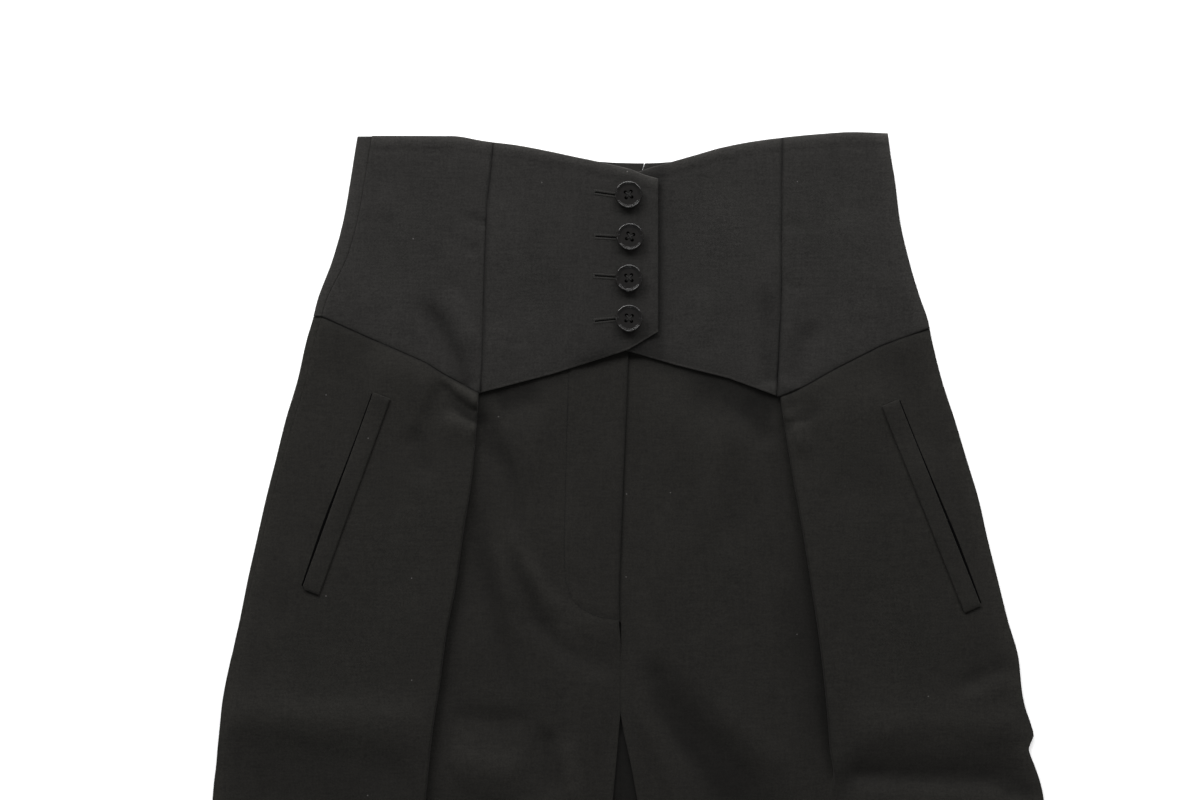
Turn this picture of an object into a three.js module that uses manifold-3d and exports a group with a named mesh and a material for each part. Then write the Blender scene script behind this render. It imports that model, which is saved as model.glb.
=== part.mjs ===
// Tapered, pleated trousers with a high corset-like yoke, lying face up and flat.
// Millimetres. X runs to the viewer's right, Y towards the waist, Z up from the surface
// that the trousers lie on. Right and left in names are the wearer's, so "right" pieces
// have negative X. The origin is under the middle of the garment's box.
import * as THREE from 'three';
import { mergeVertices } from 'three/addons/utils/BufferGeometryUtils.js';
import Module from 'manifold-3d';

const wasm = await Module();
wasm.setup();

// Driving dimensions
const LEG_CLOTH = 1.2; // suiting, as a wall
const YOKE_CLOTH = 1.6; // suiting, interfaced and faced
const WELT_CLOTH = 1.0;
const SEAM_GAP = 0.3; // between pieces that are sewn edge to edge
const WRAP_GAP = 0.2; // between a turned back panel's edge and the side seam's line
const YOKE_SEAM_HALF = 0.22; // half the gap along Y at the slanting yoke seams
const LAP_GAP = 0.35; // between pieces that lie on each other
const CROWN_RISE = 25; // how far in from a side edge the front reaches its full height
const LEG_CROWN = 1.1; // height that the front gains between its edge and its middle
const YOKE_CROWN = 1.0;
const FOLD_PITCH = 1.4; // height from one layer of a pleat to the next
const PLEAT_BASE = 2.6; // height of the middle of a pleat's lowest layer
const PLEAT_COVER = 4; // how far a pleat's top layer stays flat past the layers beneath it
const UNDER_YOKE = 10; // how far a leg front runs on beneath the centre yoke panels
const LAP_EDGE = 20; // the overlap's free edge, right of the centre line
const UNDERLAP = 22; // how far the hidden underlaps run past the centre line
const WELT_WIDTH = 12.2;
const CENTRE_CROWN = { height: 0.5, none: 385, full: 325 }; // of a front's centre part
const FRONT_SETTLES = { from: 203, to: 86 }; // where the crotch edges come down on the backs

const BUTTON_DIAMETER = 18;
const BUTTON_HEIGHT = 3.6;
const BUTTON_HOLE = 2.0; // across one of its four holes
const BUTTON_HOLE_OFFSET = 1.7; // hole's centre from the button's centre, both ways

// Heights of the cloth's middle above the surface
const LEG_BACK_Z = LEG_CLOTH / 2;
const YOKE_BACK_Z = YOKE_CLOTH / 2;
const LEG_EDGE_Z = LEG_CLOTH * 1.5 + SEAM_GAP;
const YOKE_EDGE_Z = YOKE_CLOTH * 1.5 + SEAM_GAP;

// Makes rows of numbers into rows with named columns
function table(columns, rows) {
  const names = columns.split(' ');
  return rows.map((row) => Object.fromEntries(names.map((name, i) => [name, row[i]])));
}

// Side outline of the whole garment from waist to hem
const OUTLINE = table('y right left', [
  [530.0, -180.2, 173.2],
  [514.0, -182.8, 175.3],
  [498.0, -185.3, 178.0],
  [471.3, -190.0, 181.3],
  [444.7, -197.3, 187.3],
  [418.0, -207.3, 195.3],
  [404.7, -210.7, 200.0],
  [391.3, -214.7, 202.7],
  [364.7, -220.7, 209.3],
  [338.0, -228.7, 218.0],
  [311.3, -235.3, 226.0],
  [284.7, -242.0, 234.0],
  [258.0, -248.0, 240.0],
  [231.3, -254.0, 246.7],
  [204.7, -259.3, 253.3],
  [178.0, -265.3, 260.7],
  [158.0, -269.5, 262.7],
  [147.3, -271.2, 264.7],
  [135.3, -272.4, 268.7],
  [127.3, -273.2, 270.7],
  [119.3, -274.0, 267.3],
  [107.3, -275.0, 271.3],
  [95.3, -276.5, 275.3],
  [85.3, -277.3, 277.3],
  [65.0, -279.0, 279.0],
  [40.0, -278.6, 278.6],
  [0.0, -275.5, 275.5],
  [-50.0, -268.0, 268.0],
  [-100.0, -258.0, 258.0],
  [-160.0, -245.0, 245.0],
  [-240.0, -232.0, 232.0],
  [-320.0, -223.5, 223.5],
  [-400.0, -216.5, 216.5],
  [-470.0, -211.0, 211.0],
  [-530.0, -207.0, 207.0],
]);

// Inner edges of the leg fronts: fly flap and underlap, crotch seam, then the inseams
const FRONT_INNER = table('y right left', [
  [398.0, 0.8, -UNDERLAP],
  [384.0, 0.3, -UNDERLAP],
  [333.0, -1.8, -UNDERLAP],
  [280.0, -4.0, -UNDERLAP],
  [226.7, -6.0, -UNDERLAP],
  [212.0, -6.0, -UNDERLAP],
  [203.0, -6.0, -4.85],
  [190.0, -5.15, -4.85],
  [143.0, -5.15, -4.85],
  [130.0, -6.2, -3.0],
  [108.0, -8.0, 2.0],
  [86.0, -10.0, 6.0],
  [65.0, -12.5, 10.0],
  [0.0, -19.0, 18.0],
  [-65.0, -24.0, 23.5],
  [-160.0, -29.0, 29.0],
  [-275.0, -34.0, 34.0],
  [-395.0, -38.5, 38.5],
  [-530.0, -42.0, 42.0],
]);

// Inner edges of the leg backs: seat seam, which ends lower than the front's, then inseams
const BACK_INNER = table('y right left', [
  [410.0, -4.65, -4.35],
  [75.0, -4.65, -4.35],
  [40.0, -11.5, 8.0],
  [0.0, -18.0, 17.0],
  [-65.0, -24.0, 23.5],
  [-160.0, -29.0, 29.0],
  [-275.0, -34.0, 34.0],
  [-395.0, -38.5, 38.5],
  [-530.0, -42.0, 42.0],
]);

// How far the right back panels turn round the side edge on to the front, up to the side
// seam, and by how many degrees their edge is bent
const SIDE_WRAP = table('y wrap bend', [
  [530.0, 10.0, 180],
  [450.0, 9.6, 180],
  [409.0, 5.8, 180],
  [348.0, 6.0, 180],
  [318.0, 5.3, 180],
  [282.0, 4.2, 180],
  [240.0, 3.8, 180],
  [203.0, 3.4, 180],
  [190.0, 3.0, 90],
  [175.0, 2.4, 20],
  [160.0, 0.15, 0],
  [-530.0, 0.15, 0],
]);

// Top edges of the front yoke, right half and left half, and of the back yoke
const TOP_RIGHT = table('x y', [
  [-182.0, 527.6],
  [-117.0, 527.3],
  [-96.0, 524.0],
  [-74.7, 521.3],
  [-53.3, 517.3],
  [-32.0, 512.7],
  [-10.7, 508.0],
  [2.7, 504.7],
  [9.0, 502.0],
  [20.0, 498.7],
]);
const TOP_LEFT = table('x y', [
  [-22.0, 500.0],
  [5.0, 503.0],
  [14.0, 506.0],
  [25.0, 509.0],
  [42.7, 514.0],
  [64.0, 520.0],
  [85.3, 524.0],
  [106.7, 526.7],
  [128.0, 528.7],
  [149.3, 530.0],
  [173.3, 529.3],
]);
const TOP_BACK = table('x y', [
  [-182.0, 527.6],
  [-168.0, 527.0],
  [-160.0, 525.4],
  [-117.0, 525.2],
  [-74.7, 519.2],
  [-32.0, 511.8],
  [-6.0, 509.7],
  [11.0, 509.4],
  [22.0, 509.8],
  [42.7, 512.2],
  [64.0, 518.0],
  [106.7, 524.7],
  [149.3, 528.0],
  [175.0, 527.3],
]);

// Princess seams between the yoke's side and centre panels
const PRINCESS = table('y right left', [
  [522.0, -90.0, 103.0],
  [481.3, -94.0, 102.4],
  [438.0, -95.7, 102.2],
  [408.0, -96.4, 102.0],
  [376.7, -97.3, 100.6],
  [354.0, -98.7, 99.3],
]);

// Yoke seams that join the side panels to the leg fronts, and the backs to the leg backs
const YOKE_SEAM_RIGHT = table('x y', [
  [-214.0, 411.0],
  [-208.0, 408.7],
  [-177.3, 394.7],
  [-134.7, 375.9],
  [-122.0, 367.8],
  [-98.7, 355.3],
]);
const YOKE_SEAM_LEFT = table('x y', [
  [101.0, 353.5],
  [117.3, 360.2],
  [138.7, 372.3],
  [168.4, 387.3],
  [203.0, 400.0],
]);
const YOKE_SEAM_BACK = table('x y', [
  [-214.0, 411.0],
  [-204.0, 406.9],
  [-100.0, 392.0],
  [-4.5, 385.0],
  [100.0, 389.0],
  [203.0, 400.0],
]);

// Free lower edges of the yoke's centre panels
const CENTRE_HEM_RIGHT = table('x y', [
  [-98.7, 356.0],
  [-50.0, 368.7],
  [0.0, 384.7],
  [20.0, 396.7],
]);
const CENTRE_HEM_LEFT = table('x y', [
  [-22.0, 390.0],
  [2.7, 383.0],
  [32.3, 374.4],
  [66.4, 366.0],
  [99.3, 354.0],
]);

// Hidden top edges of the leg fronts, from the pleat to beneath the centre yoke panels
const LEG_TOP_RIGHT = table('x y', [
  [-98.7, 355.3],
  [-88.0, 358.8 + UNDER_YOKE],
  [-50.0, 368.7 + UNDER_YOKE],
  [0.8, 384.9 + UNDER_YOKE],
]);
const LEG_TOP_LEFT = table('x y', [
  [-22.0, 390.0 + UNDER_YOKE],
  [2.7, 383.0 + UNDER_YOKE],
  [32.3, 374.4 + UNDER_YOKE],
  [66.4, 366.0 + UNDER_YOKE],
  [90.0, 357.4 + UNDER_YOKE],
  [101.0, 353.5],
]);

// Centre back seam of the yoke, which opens in a narrow notch at the waist
const CENTRE_BACK = table('y x half_gap', [
  [512.0, 11.8, 1.1],
  [505.0, 9.6, 0.75],
  [485.0, 5.5, 0.15],
  [440.0, 1.0, 0.15],
  [385.0, -4.5, 0.15],
]);

// Pleats: where the fold's edge runs and how far the cloth turns back beneath it
const PLEATS = table('y right left depth', [
  [358.0, -99.4, 101.2, 20.0],
  [337.0, -100.7, 103.9, 19.5],
  [299.0, -104.0, 109.9, 18.0],
  [265.0, -109.3, 116.0, 16.5],
  [227.0, -114.7, 122.0, 15.0],
  [195.0, -120.9, 126.8, 13.5],
  [163.0, -125.1, 130.6, 12.0],
  [131.0, -130.0, 133.4, 10.5],
  [85.0, -134.7, 136.0, 7.0],
  [40.0, -138.0, 138.5, 2.5],
  [10.0, -139.5, 139.5, 0.6],
  [-530.0, -124.5, 124.5, 0.6],
]);
const PLEAT_OPENS = { from: 10, to: -60 }; // where the fold loses its overlap
const OPEN_SPREAD = 9; // width of an opened pleat's step
const PLEAT_FLATTENS = { from: -65, to: -200 }; // where its last ridge dies away

// Fly flap: the right front lies over the left one from the yoke down to here
const FLY_END = { lapped: 203, flat: 190 };
const FLY_RAMP = { full: 34, none: 46 }; // distance right of the centre line
const FLY_LIFT = LEG_CLOTH + SEAM_GAP;
const YOKE_LAP_RAMP = { full: 24, none: 40 };
const YOKE_LAP_LIFT = YOKE_CLOTH + LAP_GAP;
const STACK_FADE = { full: 396, none: 505 }; // heights between which the yoke settles
const CENTRE_YOKE = { low: 4.5, high: 3.7 }; // its height on the legs and at the waist

// Welts, by the ends of the pocket's mouth on the outer edge
const WELTS = table('side top_x top_y low_x low_y inward', [
  ['right', -169.7, 356.3, -217.2, 225.6, 1],
  ['left', 180.1, 351.7, 235.3, 214.0, -1],
]);

const BUTTONS = table('x y', [
  [0.3, 487.8],
  [1.3, 459.8],
  [0.5, 432.3],
  [0.6, 405.5],
]);

// Largest folds: soft ridges (height above zero) and troughs along straight runs
const RIGHT_FOLDS = table('x1 y1 x2 y2 width height', [
  [-203, 396, -128, 363, 16, 1.1],
  [-96, 330, -76, 282, 15, -0.5],
  [-76, 282, -60, 208, 14, -0.6],
  [-72, 262, -42, 222, 16, 1.3],
  [-264, 168, -136, 144, 26, 1.8],
  [-120, 137, -62, 112, 24, 1.5],
  [-56, 142, -48, 96, 14, -0.6],
  [-262, 40, -160, -15, 34, 1.6],
  [-60, 20, -128, -30, 30, 1.4],
  [-236, -130, -120, -175, 34, 1.8],
  [-50, -200, -128, -236, 30, 1.4],
  [-214, -330, -130, -372, 36, 1.2],
]);
const LEFT_FOLDS = table('x1 y1 x2 y2 width height', [
  [126, 352, 192, 388, 16, 1.1],
  [150, 142, 258, 150, 18, 1.6],
  [140, 113, 264, 118, 12, -1.2],
  [146, 88, 262, 94, 20, 1.3],
  [26, 160, 56, 116, 18, -0.7],
  [56, 116, 90, 84, 18, -0.7],
  [24, 130, 52, 84, 16, 1.4],
  [56, 146, 102, 104, 18, 1.2],
  [70, 20, 128, -34, 30, 1.4],
  [266, 10, 176, -40, 34, 1.6],
  [52, -150, 120, -196, 32, 1.7],
  [232, -150, 140, -120, 30, 1.2],
  [206, -300, 122, -338, 34, 1.3],
]);

// Rows of points down a leg: shares of the way from the first level up to the top edge,
// then levels
const TOP_SHARES = [1, 0.82, 0.64, 0.46, 0.28, 0.12];
const LEG_LEVELS = [
  330, 314, 298, 281, 264, 247, 230, 212, 203, 190, 175, 160, 143, 130, 119, 108, 97, 86,
  65, 38, 10, -25, -60, -105, -160, -215, -275, -335, -395, -450, -500, -530,
];
const BACK_LEVELS = [
  330, 314, 298, 281, 264, 247, 230, 212, 203, 190, 175, 160, 130, 100, 75, 40, 0, -30, -65,
  -110, -160, -215, -275, -335, -395, -460, -530,
];

const SETTLING_PASSES = 12; // rounds that find a point whose X and Y depend on each other

const clamp01 = (value) => Math.min(1, Math.max(0, value));
const ramp = (from, to, value) => clamp01((value - from) / (to - from));
const ease = (share) => share * share * (3 - 2 * share);
const mix = (a, b, share) => a + (b - a) * share;

// Straight-line reading of a table's column at a place along its key column
function read(rows, key, column, place) {
  const rising = rows[rows.length - 1][key] > rows[0][key];
  const ordered = rising ? rows : [...rows].reverse();
  let i = 0;
  while (i < ordered.length - 2 && place > ordered[i + 1][key]) i += 1;
  const share = clamp01((place - ordered[i][key]) / (ordered[i + 1][key] - ordered[i][key]));
  return mix(ordered[i][column], ordered[i + 1][column], share);
}

const outlineX = (side, y) => read(OUTLINE, 'y', side, y);
const yokeTop = (side, x) => read(side === 'right' ? TOP_RIGHT : TOP_LEFT, 'x', 'y', x);
const yokeSeam = (side, x) =>
  read(side === 'right' ? YOKE_SEAM_RIGHT : YOKE_SEAM_LEFT, 'x', 'y', x);
const sign = (side) => (side === 'right' ? -1 : 1);

// The side seam's place on the front: the outline on the left, inside it on the right
function sideSeamX(side, y) {
  const edge = outlineX(side, y);
  return side === 'right' ? edge + read(SIDE_WRAP, 'y', 'wrap', y) : edge;
}

// Height of a soft ridge or trough along its run, at a point
function foldHeight(fold, x, y) {
  const runX = fold.x2 - fold.x1;
  const runY = fold.y2 - fold.y1;
  const length = Math.hypot(runX, runY);
  const along = ((x - fold.x1) * runX + (y - fold.y1) * runY) / length;
  const across = ((x - fold.x1) * runY - (y - fold.y1) * runX) / length;
  const side = clamp01(1 - Math.abs(across) / fold.width);
  const ends = clamp01(Math.min(along, length - along) / fold.width + 1);
  return fold.height * ease(side) * ease(ends);
}

const foldsAt = (folds, x, y) => folds.reduce((sum, fold) => sum + foldHeight(fold, x, y), 0);

// How far a pleat has opened sideways, and how much of its height is left
const pleatOpening = (y) => ease(ramp(PLEAT_OPENS.from, PLEAT_OPENS.to, y));
const pleatHeight = (y) => 1 - ease(ramp(PLEAT_FLATTENS.from, PLEAT_FLATTENS.to, y));

// Height of a leg front's side part, which rises from the side edge to the pleat's fold
function sidePartZ(side, x, y) {
  const folds = side === 'right' ? RIGHT_FOLDS : LEFT_FOLDS;
  const edge = outlineX(side, y);
  const fold = read(PLEATS, 'y', side, y);
  const inward = Math.abs(x - edge);
  const crown = LEG_CROWN * ease(clamp01(inward / CROWN_RISE));
  const pleatTop = PLEAT_BASE + 2 * FOLD_PITCH * pleatHeight(y);
  const layered = read(PLEATS, 'y', 'depth', y) + PLEAT_COVER;
  const climb = ease(clamp01(inward / (Math.abs(fold - edge) - layered)));
  const plain = mix(LEG_EDGE_Z + crown, pleatTop, climb);
  const fromPleat = clamp01((Math.abs(x - fold) - layered) / CROWN_RISE);
  const room = clamp01(inward / CROWN_RISE) * fromPleat;
  return plain + foldsAt(folds, x, y) * room;
}

// Height of a leg front's centre part, from the pleat's lowest layer to the centre line
function centrePartZ(side, x, y) {
  const folds = side === 'right' ? RIGHT_FOLDS : LEFT_FOLDS;
  const fold = read(PLEATS, 'y', side, y);
  const inner = read(FRONT_INNER, 'y', side, y);
  const flat = FLY_RAMP.full * ramp(FLY_END.flat - CROWN_RISE, FLY_END.lapped, y);
  const fromPleat = clamp01((-sign(side) * (x - fold)) / CROWN_RISE);
  const fromCentre = clamp01((sign(side) * (x - inner) - flat) / CROWN_RISE);
  const spread = ease(fromPleat) * ease(fromCentre);
  const crown = CENTRE_CROWN.height * spread * ramp(CENTRE_CROWN.none, CENTRE_CROWN.full, y);
  const settled = ramp(FRONT_SETTLES.from, FRONT_SETTLES.to, y) * (1 - ease(fromCentre));
  const level = mix(PLEAT_BASE, LEG_EDGE_Z, settled);
  return Math.max(LEG_EDGE_Z, level + crown + foldsAt(folds, x, y) * fromPleat * fromCentre);
}

// The fly flap is lifted on to the underlap of the other front
function flyLift(x, y) {
  const across = ramp(-FLY_RAMP.none, -FLY_RAMP.full, x);
  return FLY_LIFT * across * ramp(FLY_END.flat, FLY_END.lapped, y);
}

// Section of a pleat at one height, from the side part's end to the centre part's start:
// top layer, turn, middle layer back beneath it, turn, lowest layer
function pleatSection(side, y) {
  const inward = -sign(side);
  const radius = FOLD_PITCH / 2;
  const edge = read(PLEATS, 'y', side, y) - inward * (LEG_CLOTH / 2);
  const depth = read(PLEATS, 'y', 'depth', y);
  const topX = edge - inward * radius;
  const lowX = topX - inward * depth;
  const turn = [0, Math.PI / 3, (2 * Math.PI) / 3, Math.PI];
  const closed = [
    ...turn.map((a) => [topX + inward * radius * Math.sin(a), radius * (3 + Math.cos(a))]),
    ...turn.map((a) => [lowX - inward * radius * Math.sin(a), radius * (1 + Math.cos(a))]),
  ];
  const opening = pleatOpening(y);
  const height = pleatHeight(y);
  return closed.map(([x, z], i) => {
    const share = i / (closed.length - 1);
    const openX = topX + inward * OPEN_SPREAD * (share - 0.5);
    const openZ = 2 * FOLD_PITCH * (1 - ease(share));
    return { x: mix(x, openX, opening), z: PLEAT_BASE + mix(z, openZ, opening) * height };
  });
}

// Where the points of a leg front's row lie: shares of the side part from the side seam to
// the pleat, the pleat, shares of the centre part, then distances from the inner edge
const SIDE_COLUMNS = [0, 0.05, 0.14, 0.27, 0.4, 0.53, 0.66];
const CENTRE_COLUMNS = [0.32, 0.56, 0.8];
const INNER_COLUMNS = {
  right: [FLY_RAMP.none, FLY_RAMP.full, 15, 0],
  left: [UNDERLAP, 8, 0],
};
const PLEAT_TOP = 358;
const PLEAT_STEP = 2; // from a fold's edge to the centre part's first free point

// One row of a leg front's points. The level tells where the pleat is read; each point's
// own height comes from rowY, because the top rows slant with the yoke's seams.
function legFrontRow(side, level, rowY) {
  const points = [];
  const place = (x, layer, zOf) => {
    const y = rowY(x, layer);
    points.push(new THREE.Vector3(x, y, zOf(x, y)));
  };
  let seamY = level;
  for (let pass = 0; pass < SETTLING_PASSES; pass += 1) {
    seamY = rowY(sideSeamX(side, seamY), 'side');
  }
  const start = sideSeamX(side, seamY) - (sign(side) * SEAM_GAP) / 2;
  const section = pleatSection(side, level);
  const covered = read(PLEATS, 'y', 'depth', level) + PLEAT_COVER - 1;
  const sideX = SIDE_COLUMNS.map((share) => mix(start, section[0].x, share));
  for (const x of [...sideX, section[0].x + sign(side) * covered]) {
    place(x, 'side', (px, py) => sidePartZ(side, px, py));
  }
  for (const { x, z } of section) {
    place(x, 'side', () => z);
  }
  const centreZ = (x, y) => centrePartZ(side, x, y) + (side === 'right' ? flyLift(x, y) : 0);
  const inner = read(FRONT_INNER, 'y', side, rowY(0, 'centre'));
  const low = section[section.length - 1].x;
  const fold = read(PLEATS, 'y', side, level);
  const lowest = Math.max(0, sign(side) * (fold - low));
  place(fold - sign(side) * (lowest + PLEAT_STEP), 'centre', centreZ);
  const columns = INNER_COLUMNS[side];
  const flyStart = inner + sign(side) * columns[0];
  for (const share of CENTRE_COLUMNS) {
    place(mix(low, flyStart, share), 'centre', centreZ);
  }
  for (const offset of columns) {
    place(inner + sign(side) * offset, 'centre', centreZ);
  }
  return side === 'right' ? points : points.reverse();
}

// Top edge of a leg front: the yoke seam along its side part and its pleat, and a hidden
// edge under the yoke along its centre part
function legTopY(side, x, layer) {
  const pastFold = -sign(side) * (x - read(PLEATS, 'y', side, PLEAT_TOP)) > 0;
  if (layer === 'centre' && pastFold) {
    return read(side === 'right' ? LEG_TOP_RIGHT : LEG_TOP_LEFT, 'x', 'y', x);
  }
  return yokeSeam(side, x) - YOKE_SEAM_HALF;
}

function legFrontGrid(side) {
  const top = LEG_LEVELS[0];
  const rows = [...LEG_LEVELS].reverse().map((level) => legFrontRow(side, level, () => level));
  for (const share of [...TOP_SHARES].reverse()) {
    const rowY = (x, layer) => mix(top, legTopY(side, x, layer), share);
    rows.push(legFrontRow(side, mix(top, PLEAT_TOP, share), rowY));
  }
  return rows;
}

const STRAIGHT_BEND = 1; // degrees, for an edge that lies flat

// Section of a back panel that turns round the side edge on to the front: points along the
// bend, as distances inward from the outline and heights, then the run on the front
function wrapSection(y, cloth, backZ, edgeZ, frontZ) {
  const bend = (Math.max(read(SIDE_WRAP, 'y', 'bend', y), STRAIGHT_BEND) * Math.PI) / 180;
  const arc = ((edgeZ - backZ) / 2) * Math.PI;
  const radius = arc / bend;
  const reach = bend > Math.PI / 2 ? radius : radius * Math.sin(bend);
  const steps = 4;
  const points = [];
  for (let i = 0; i <= steps; i += 1) {
    const angle = (bend * i) / steps;
    const out = radius * Math.sin(angle);
    points.push({ inward: cloth / 2 + reach - out, z: backZ + radius * (1 - Math.cos(angle)) });
  }
  const wrap = read(SIDE_WRAP, 'y', 'wrap', y) - WRAP_GAP;
  const turned = bend > 0.9 * Math.PI;
  const last = points[steps];
  for (const share of [0.5, 1]) {
    const runX = turned ? mix(last.inward, wrap, share) : last.inward - 0.4 * share;
    points.push({ inward: runX, z: turned ? frontZ(runX) : last.z });
  }
  return points;
}

const FLAT_COLUMNS = [0, 0.22, 0.45, 0.68, 0.88];

// One row of a back panel, flat from its inner edge to its side edge, which on the right
// is bent round on to the front
function backRow(side, inner, level, rowY, cloth, backZ, edgeZ, frontZ) {
  const seamY = rowY(sideSeamX(side, level));
  const edge = outlineX(side, seamY);
  const bent =
    side === 'right' ? wrapSection(seamY, cloth, backZ, edgeZ, (d) => frontZ(edge + d, seamY)) : [];
  const flatEnd = side === 'right' ? edge + bent[0].inward : edge;
  const flat = (side === 'right' ? FLAT_COLUMNS : [...FLAT_COLUMNS, 1]).map((share) => {
    const x = mix(inner, flatEnd, share);
    return new THREE.Vector3(x, rowY(x), backZ);
  });
  const turned = bent.map(({ inward, z }) => new THREE.Vector3(edge + inward, seamY, z));
  const row = [...flat, ...turned];
  return side === 'right' ? row.reverse() : row;
}

function legBackGrid(side) {
  const top = BACK_LEVELS[0];
  const frontZ = (x, y) => sidePartZ(side, x, y);
  const row = (level, rowY) => {
    const inner = read(BACK_INNER, 'y', side, level);
    return backRow(side, inner, level, rowY, LEG_CLOTH, LEG_BACK_Z, LEG_EDGE_Z, frontZ);
  };
  const seam = (x) => read(YOKE_SEAM_BACK, 'x', 'y', x) - SEAM_GAP / 2;
  const rows = [...BACK_LEVELS].reverse().map((level) => row(level, () => level));
  for (const share of [...TOP_SHARES].reverse()) {
    rows.push(row(mix(top, seam(outlineX(side, 405)), share), (x) => mix(top, seam(x), share)));
  }
  return rows;
}

// How much of the leg fronts' height the yoke still has beneath it
const stackShare = (y) => 1 - ramp(STACK_FADE.full, STACK_FADE.none, y);

const YOKE_TILT = 0.3; // rise of a side panel from its side seam to its princess seam
const YOKE_SETTLES = 70; // how far above the yoke seam the leg's height is felt
const PRINCESS_RISE = 0.5; // how much a centre panel rises to meet its princess seam
const UNDERLAP_RAMP = { full: 2, none: 12 }; // where the fly stops lifting the yoke

// Height of the front yoke's side panels
function yokeSideZ(side, x, y) {
  const edge = outlineX(side, y);
  const princess = read(PRINCESS, 'y', side, y);
  const inward = clamp01(Math.abs(x - edge) / Math.abs(princess - edge));
  const crown = YOKE_CROWN * ease(clamp01(Math.abs(x - edge) / CROWN_RISE));
  const plain = YOKE_EDGE_Z + crown + YOKE_TILT * inward;
  const atSeam = sidePartZ(side, x, yokeSeam(side, x)) + (YOKE_CLOTH - LEG_CLOTH) / 2;
  const settled = ease(ramp(0, YOKE_SETTLES, y - yokeSeam(side, x)));
  const nearEdge = clamp01(Math.abs(x - edge) / CROWN_RISE);
  return mix(plain, mix(atSeam, plain, settled), nearEdge);
}

// Height of the yoke's centre panels without their laps
function yokeCentreZ(side, x, y) {
  const princess = read(PRINCESS, 'y', side, y);
  const level = mix(CENTRE_YOKE.high, CENTRE_YOKE.low, stackShare(y));
  const nearSeam = 1 - ease(clamp01(Math.abs(x - princess) / CROWN_RISE));
  return level + PRINCESS_RISE * nearSeam * stackShare(y);
}

// Lift of both centre panels over the fly flap
function overFlyLift(x, y) {
  const rising = ramp(-FLY_RAMP.none, -FLY_RAMP.full, x);
  const falling = ramp(UNDERLAP_RAMP.none, UNDERLAP_RAMP.full, x);
  return FLY_LIFT * Math.min(rising, falling) * stackShare(y);
}

const underlapZ = (x, y) =>
  yokeCentreZ('left', Math.max(x, UNDERLAP_RAMP.none), y) + overFlyLift(x, y);

function overlapZ(x, y) {
  const lap = YOKE_LAP_LIFT * ramp(-YOKE_LAP_RAMP.none, -YOKE_LAP_RAMP.full, x);
  return yokeCentreZ('right', Math.min(x, -UNDERLAP_RAMP.none), y) + overFlyLift(x, y) + lap;
}

// A panel between four edges: its points are found from shares across and up
function panelGrid({ left, right, bottom, top, columns, shares, zOf }) {
  return shares.map((up) =>
    columns.map((across) => {
      let x = mix(left(450), right(450), across);
      let y = 450;
      for (let pass = 0; pass < SETTLING_PASSES; pass += 1) {
        y = mix(bottom(x), top(x), up);
        x = mix(left(y), right(y), across);
      }
      return new THREE.Vector3(x, y, zOf(x, y));
    }),
  );
}

const YOKE_SHARES = [0, 0.14, 0.3, 0.46, 0.62, 0.8, 1];
const PLEAT_SHARE = 0.98; // where a pleat's fold stands along a side panel's lower edge
const COVER_SHARE = 0.78; // where the layers beneath it end, along the stretch up to it

// Its columns meet those of the leg front's side part
function yokeSideGrid(side) {
  const shares = [...[...SIDE_COLUMNS, COVER_SHARE, 1].map((share) => share * PLEAT_SHARE), 1];
  const seamX = (y) => sideSeamX(side, y) - (sign(side) * SEAM_GAP) / 2;
  const princessX = (y) => read(PRINCESS, 'y', side, y) + (sign(side) * SEAM_GAP) / 2;
  return panelGrid({
    left: side === 'right' ? seamX : princessX,
    right: side === 'right' ? princessX : seamX,
    bottom: (x) => yokeSeam(side, x) + YOKE_SEAM_HALF,
    top: (x) => yokeTop(side, x),
    columns: side === 'right' ? shares : shares.map((share) => 1 - share).reverse(),
    shares: YOKE_SHARES,
    zOf: (x, y) => yokeSideZ(side, x, y),
  });
}

// The centre panels' columns stand at named places, so that laps follow each other
function yokeCentreGrid(side) {
  const isRight = side === 'right';
  const lapEnd = [UNDERLAP_RAMP.full, UNDERLAP_RAMP.none];
  const princessX = (y) => read(PRINCESS, 'y', side, y) - (sign(side) * SEAM_GAP) / 2;
  const places = isRight
    ? [-FLY_RAMP.none, -FLY_RAMP.full, -YOKE_LAP_RAMP.full, -12, ...lapEnd, LAP_EDGE]
    : [-UNDERLAP, -12, ...lapEnd, 24];
  const hem = (x) => read(isRight ? CENTRE_HEM_RIGHT : CENTRE_HEM_LEFT, 'x', 'y', x);
  const zOf = isRight ? overlapZ : underlapZ;
  return YOKE_SHARES.map((up) => {
    const point = (xOf) => {
      let x = xOf(450);
      let y = 450;
      for (let pass = 0; pass < SETTLING_PASSES; pass += 1) {
        y = mix(hem(x), yokeTop(side, x), up);
        x = xOf(y);
      }
      return new THREE.Vector3(x, y, zOf(x, y));
    };
    const fixed = places.map((x) => point(() => x));
    const far = isRight ? places[0] : places[places.length - 1];
    const spread = [0, 0.33, 0.66].map((share) => point((y) => mix(princessX(y), far, share)));
    return isRight ? [...spread, ...fixed] : [...fixed, ...spread.reverse()];
  });
}

function yokeBackGrid(side) {
  const frontZ = (x, y) => yokeSideZ(side, x, y);
  return YOKE_SHARES.map((up) => {
    const seam = (x) => read(YOKE_SEAM_BACK, 'x', 'y', x) + SEAM_GAP / 2;
    const rowY = (x) => mix(seam(x), read(TOP_BACK, 'x', 'y', x), up);
    const level = mix(400, 528, up);
    const centreY = rowY(0);
    const gap = read(CENTRE_BACK, 'y', 'half_gap', centreY);
    const inner = read(CENTRE_BACK, 'y', 'x', centreY) + sign(side) * gap;
    return backRow(side, inner, level, rowY, YOKE_CLOTH, YOKE_BACK_Z, YOKE_EDGE_Z, frontZ);
  });
}

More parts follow.
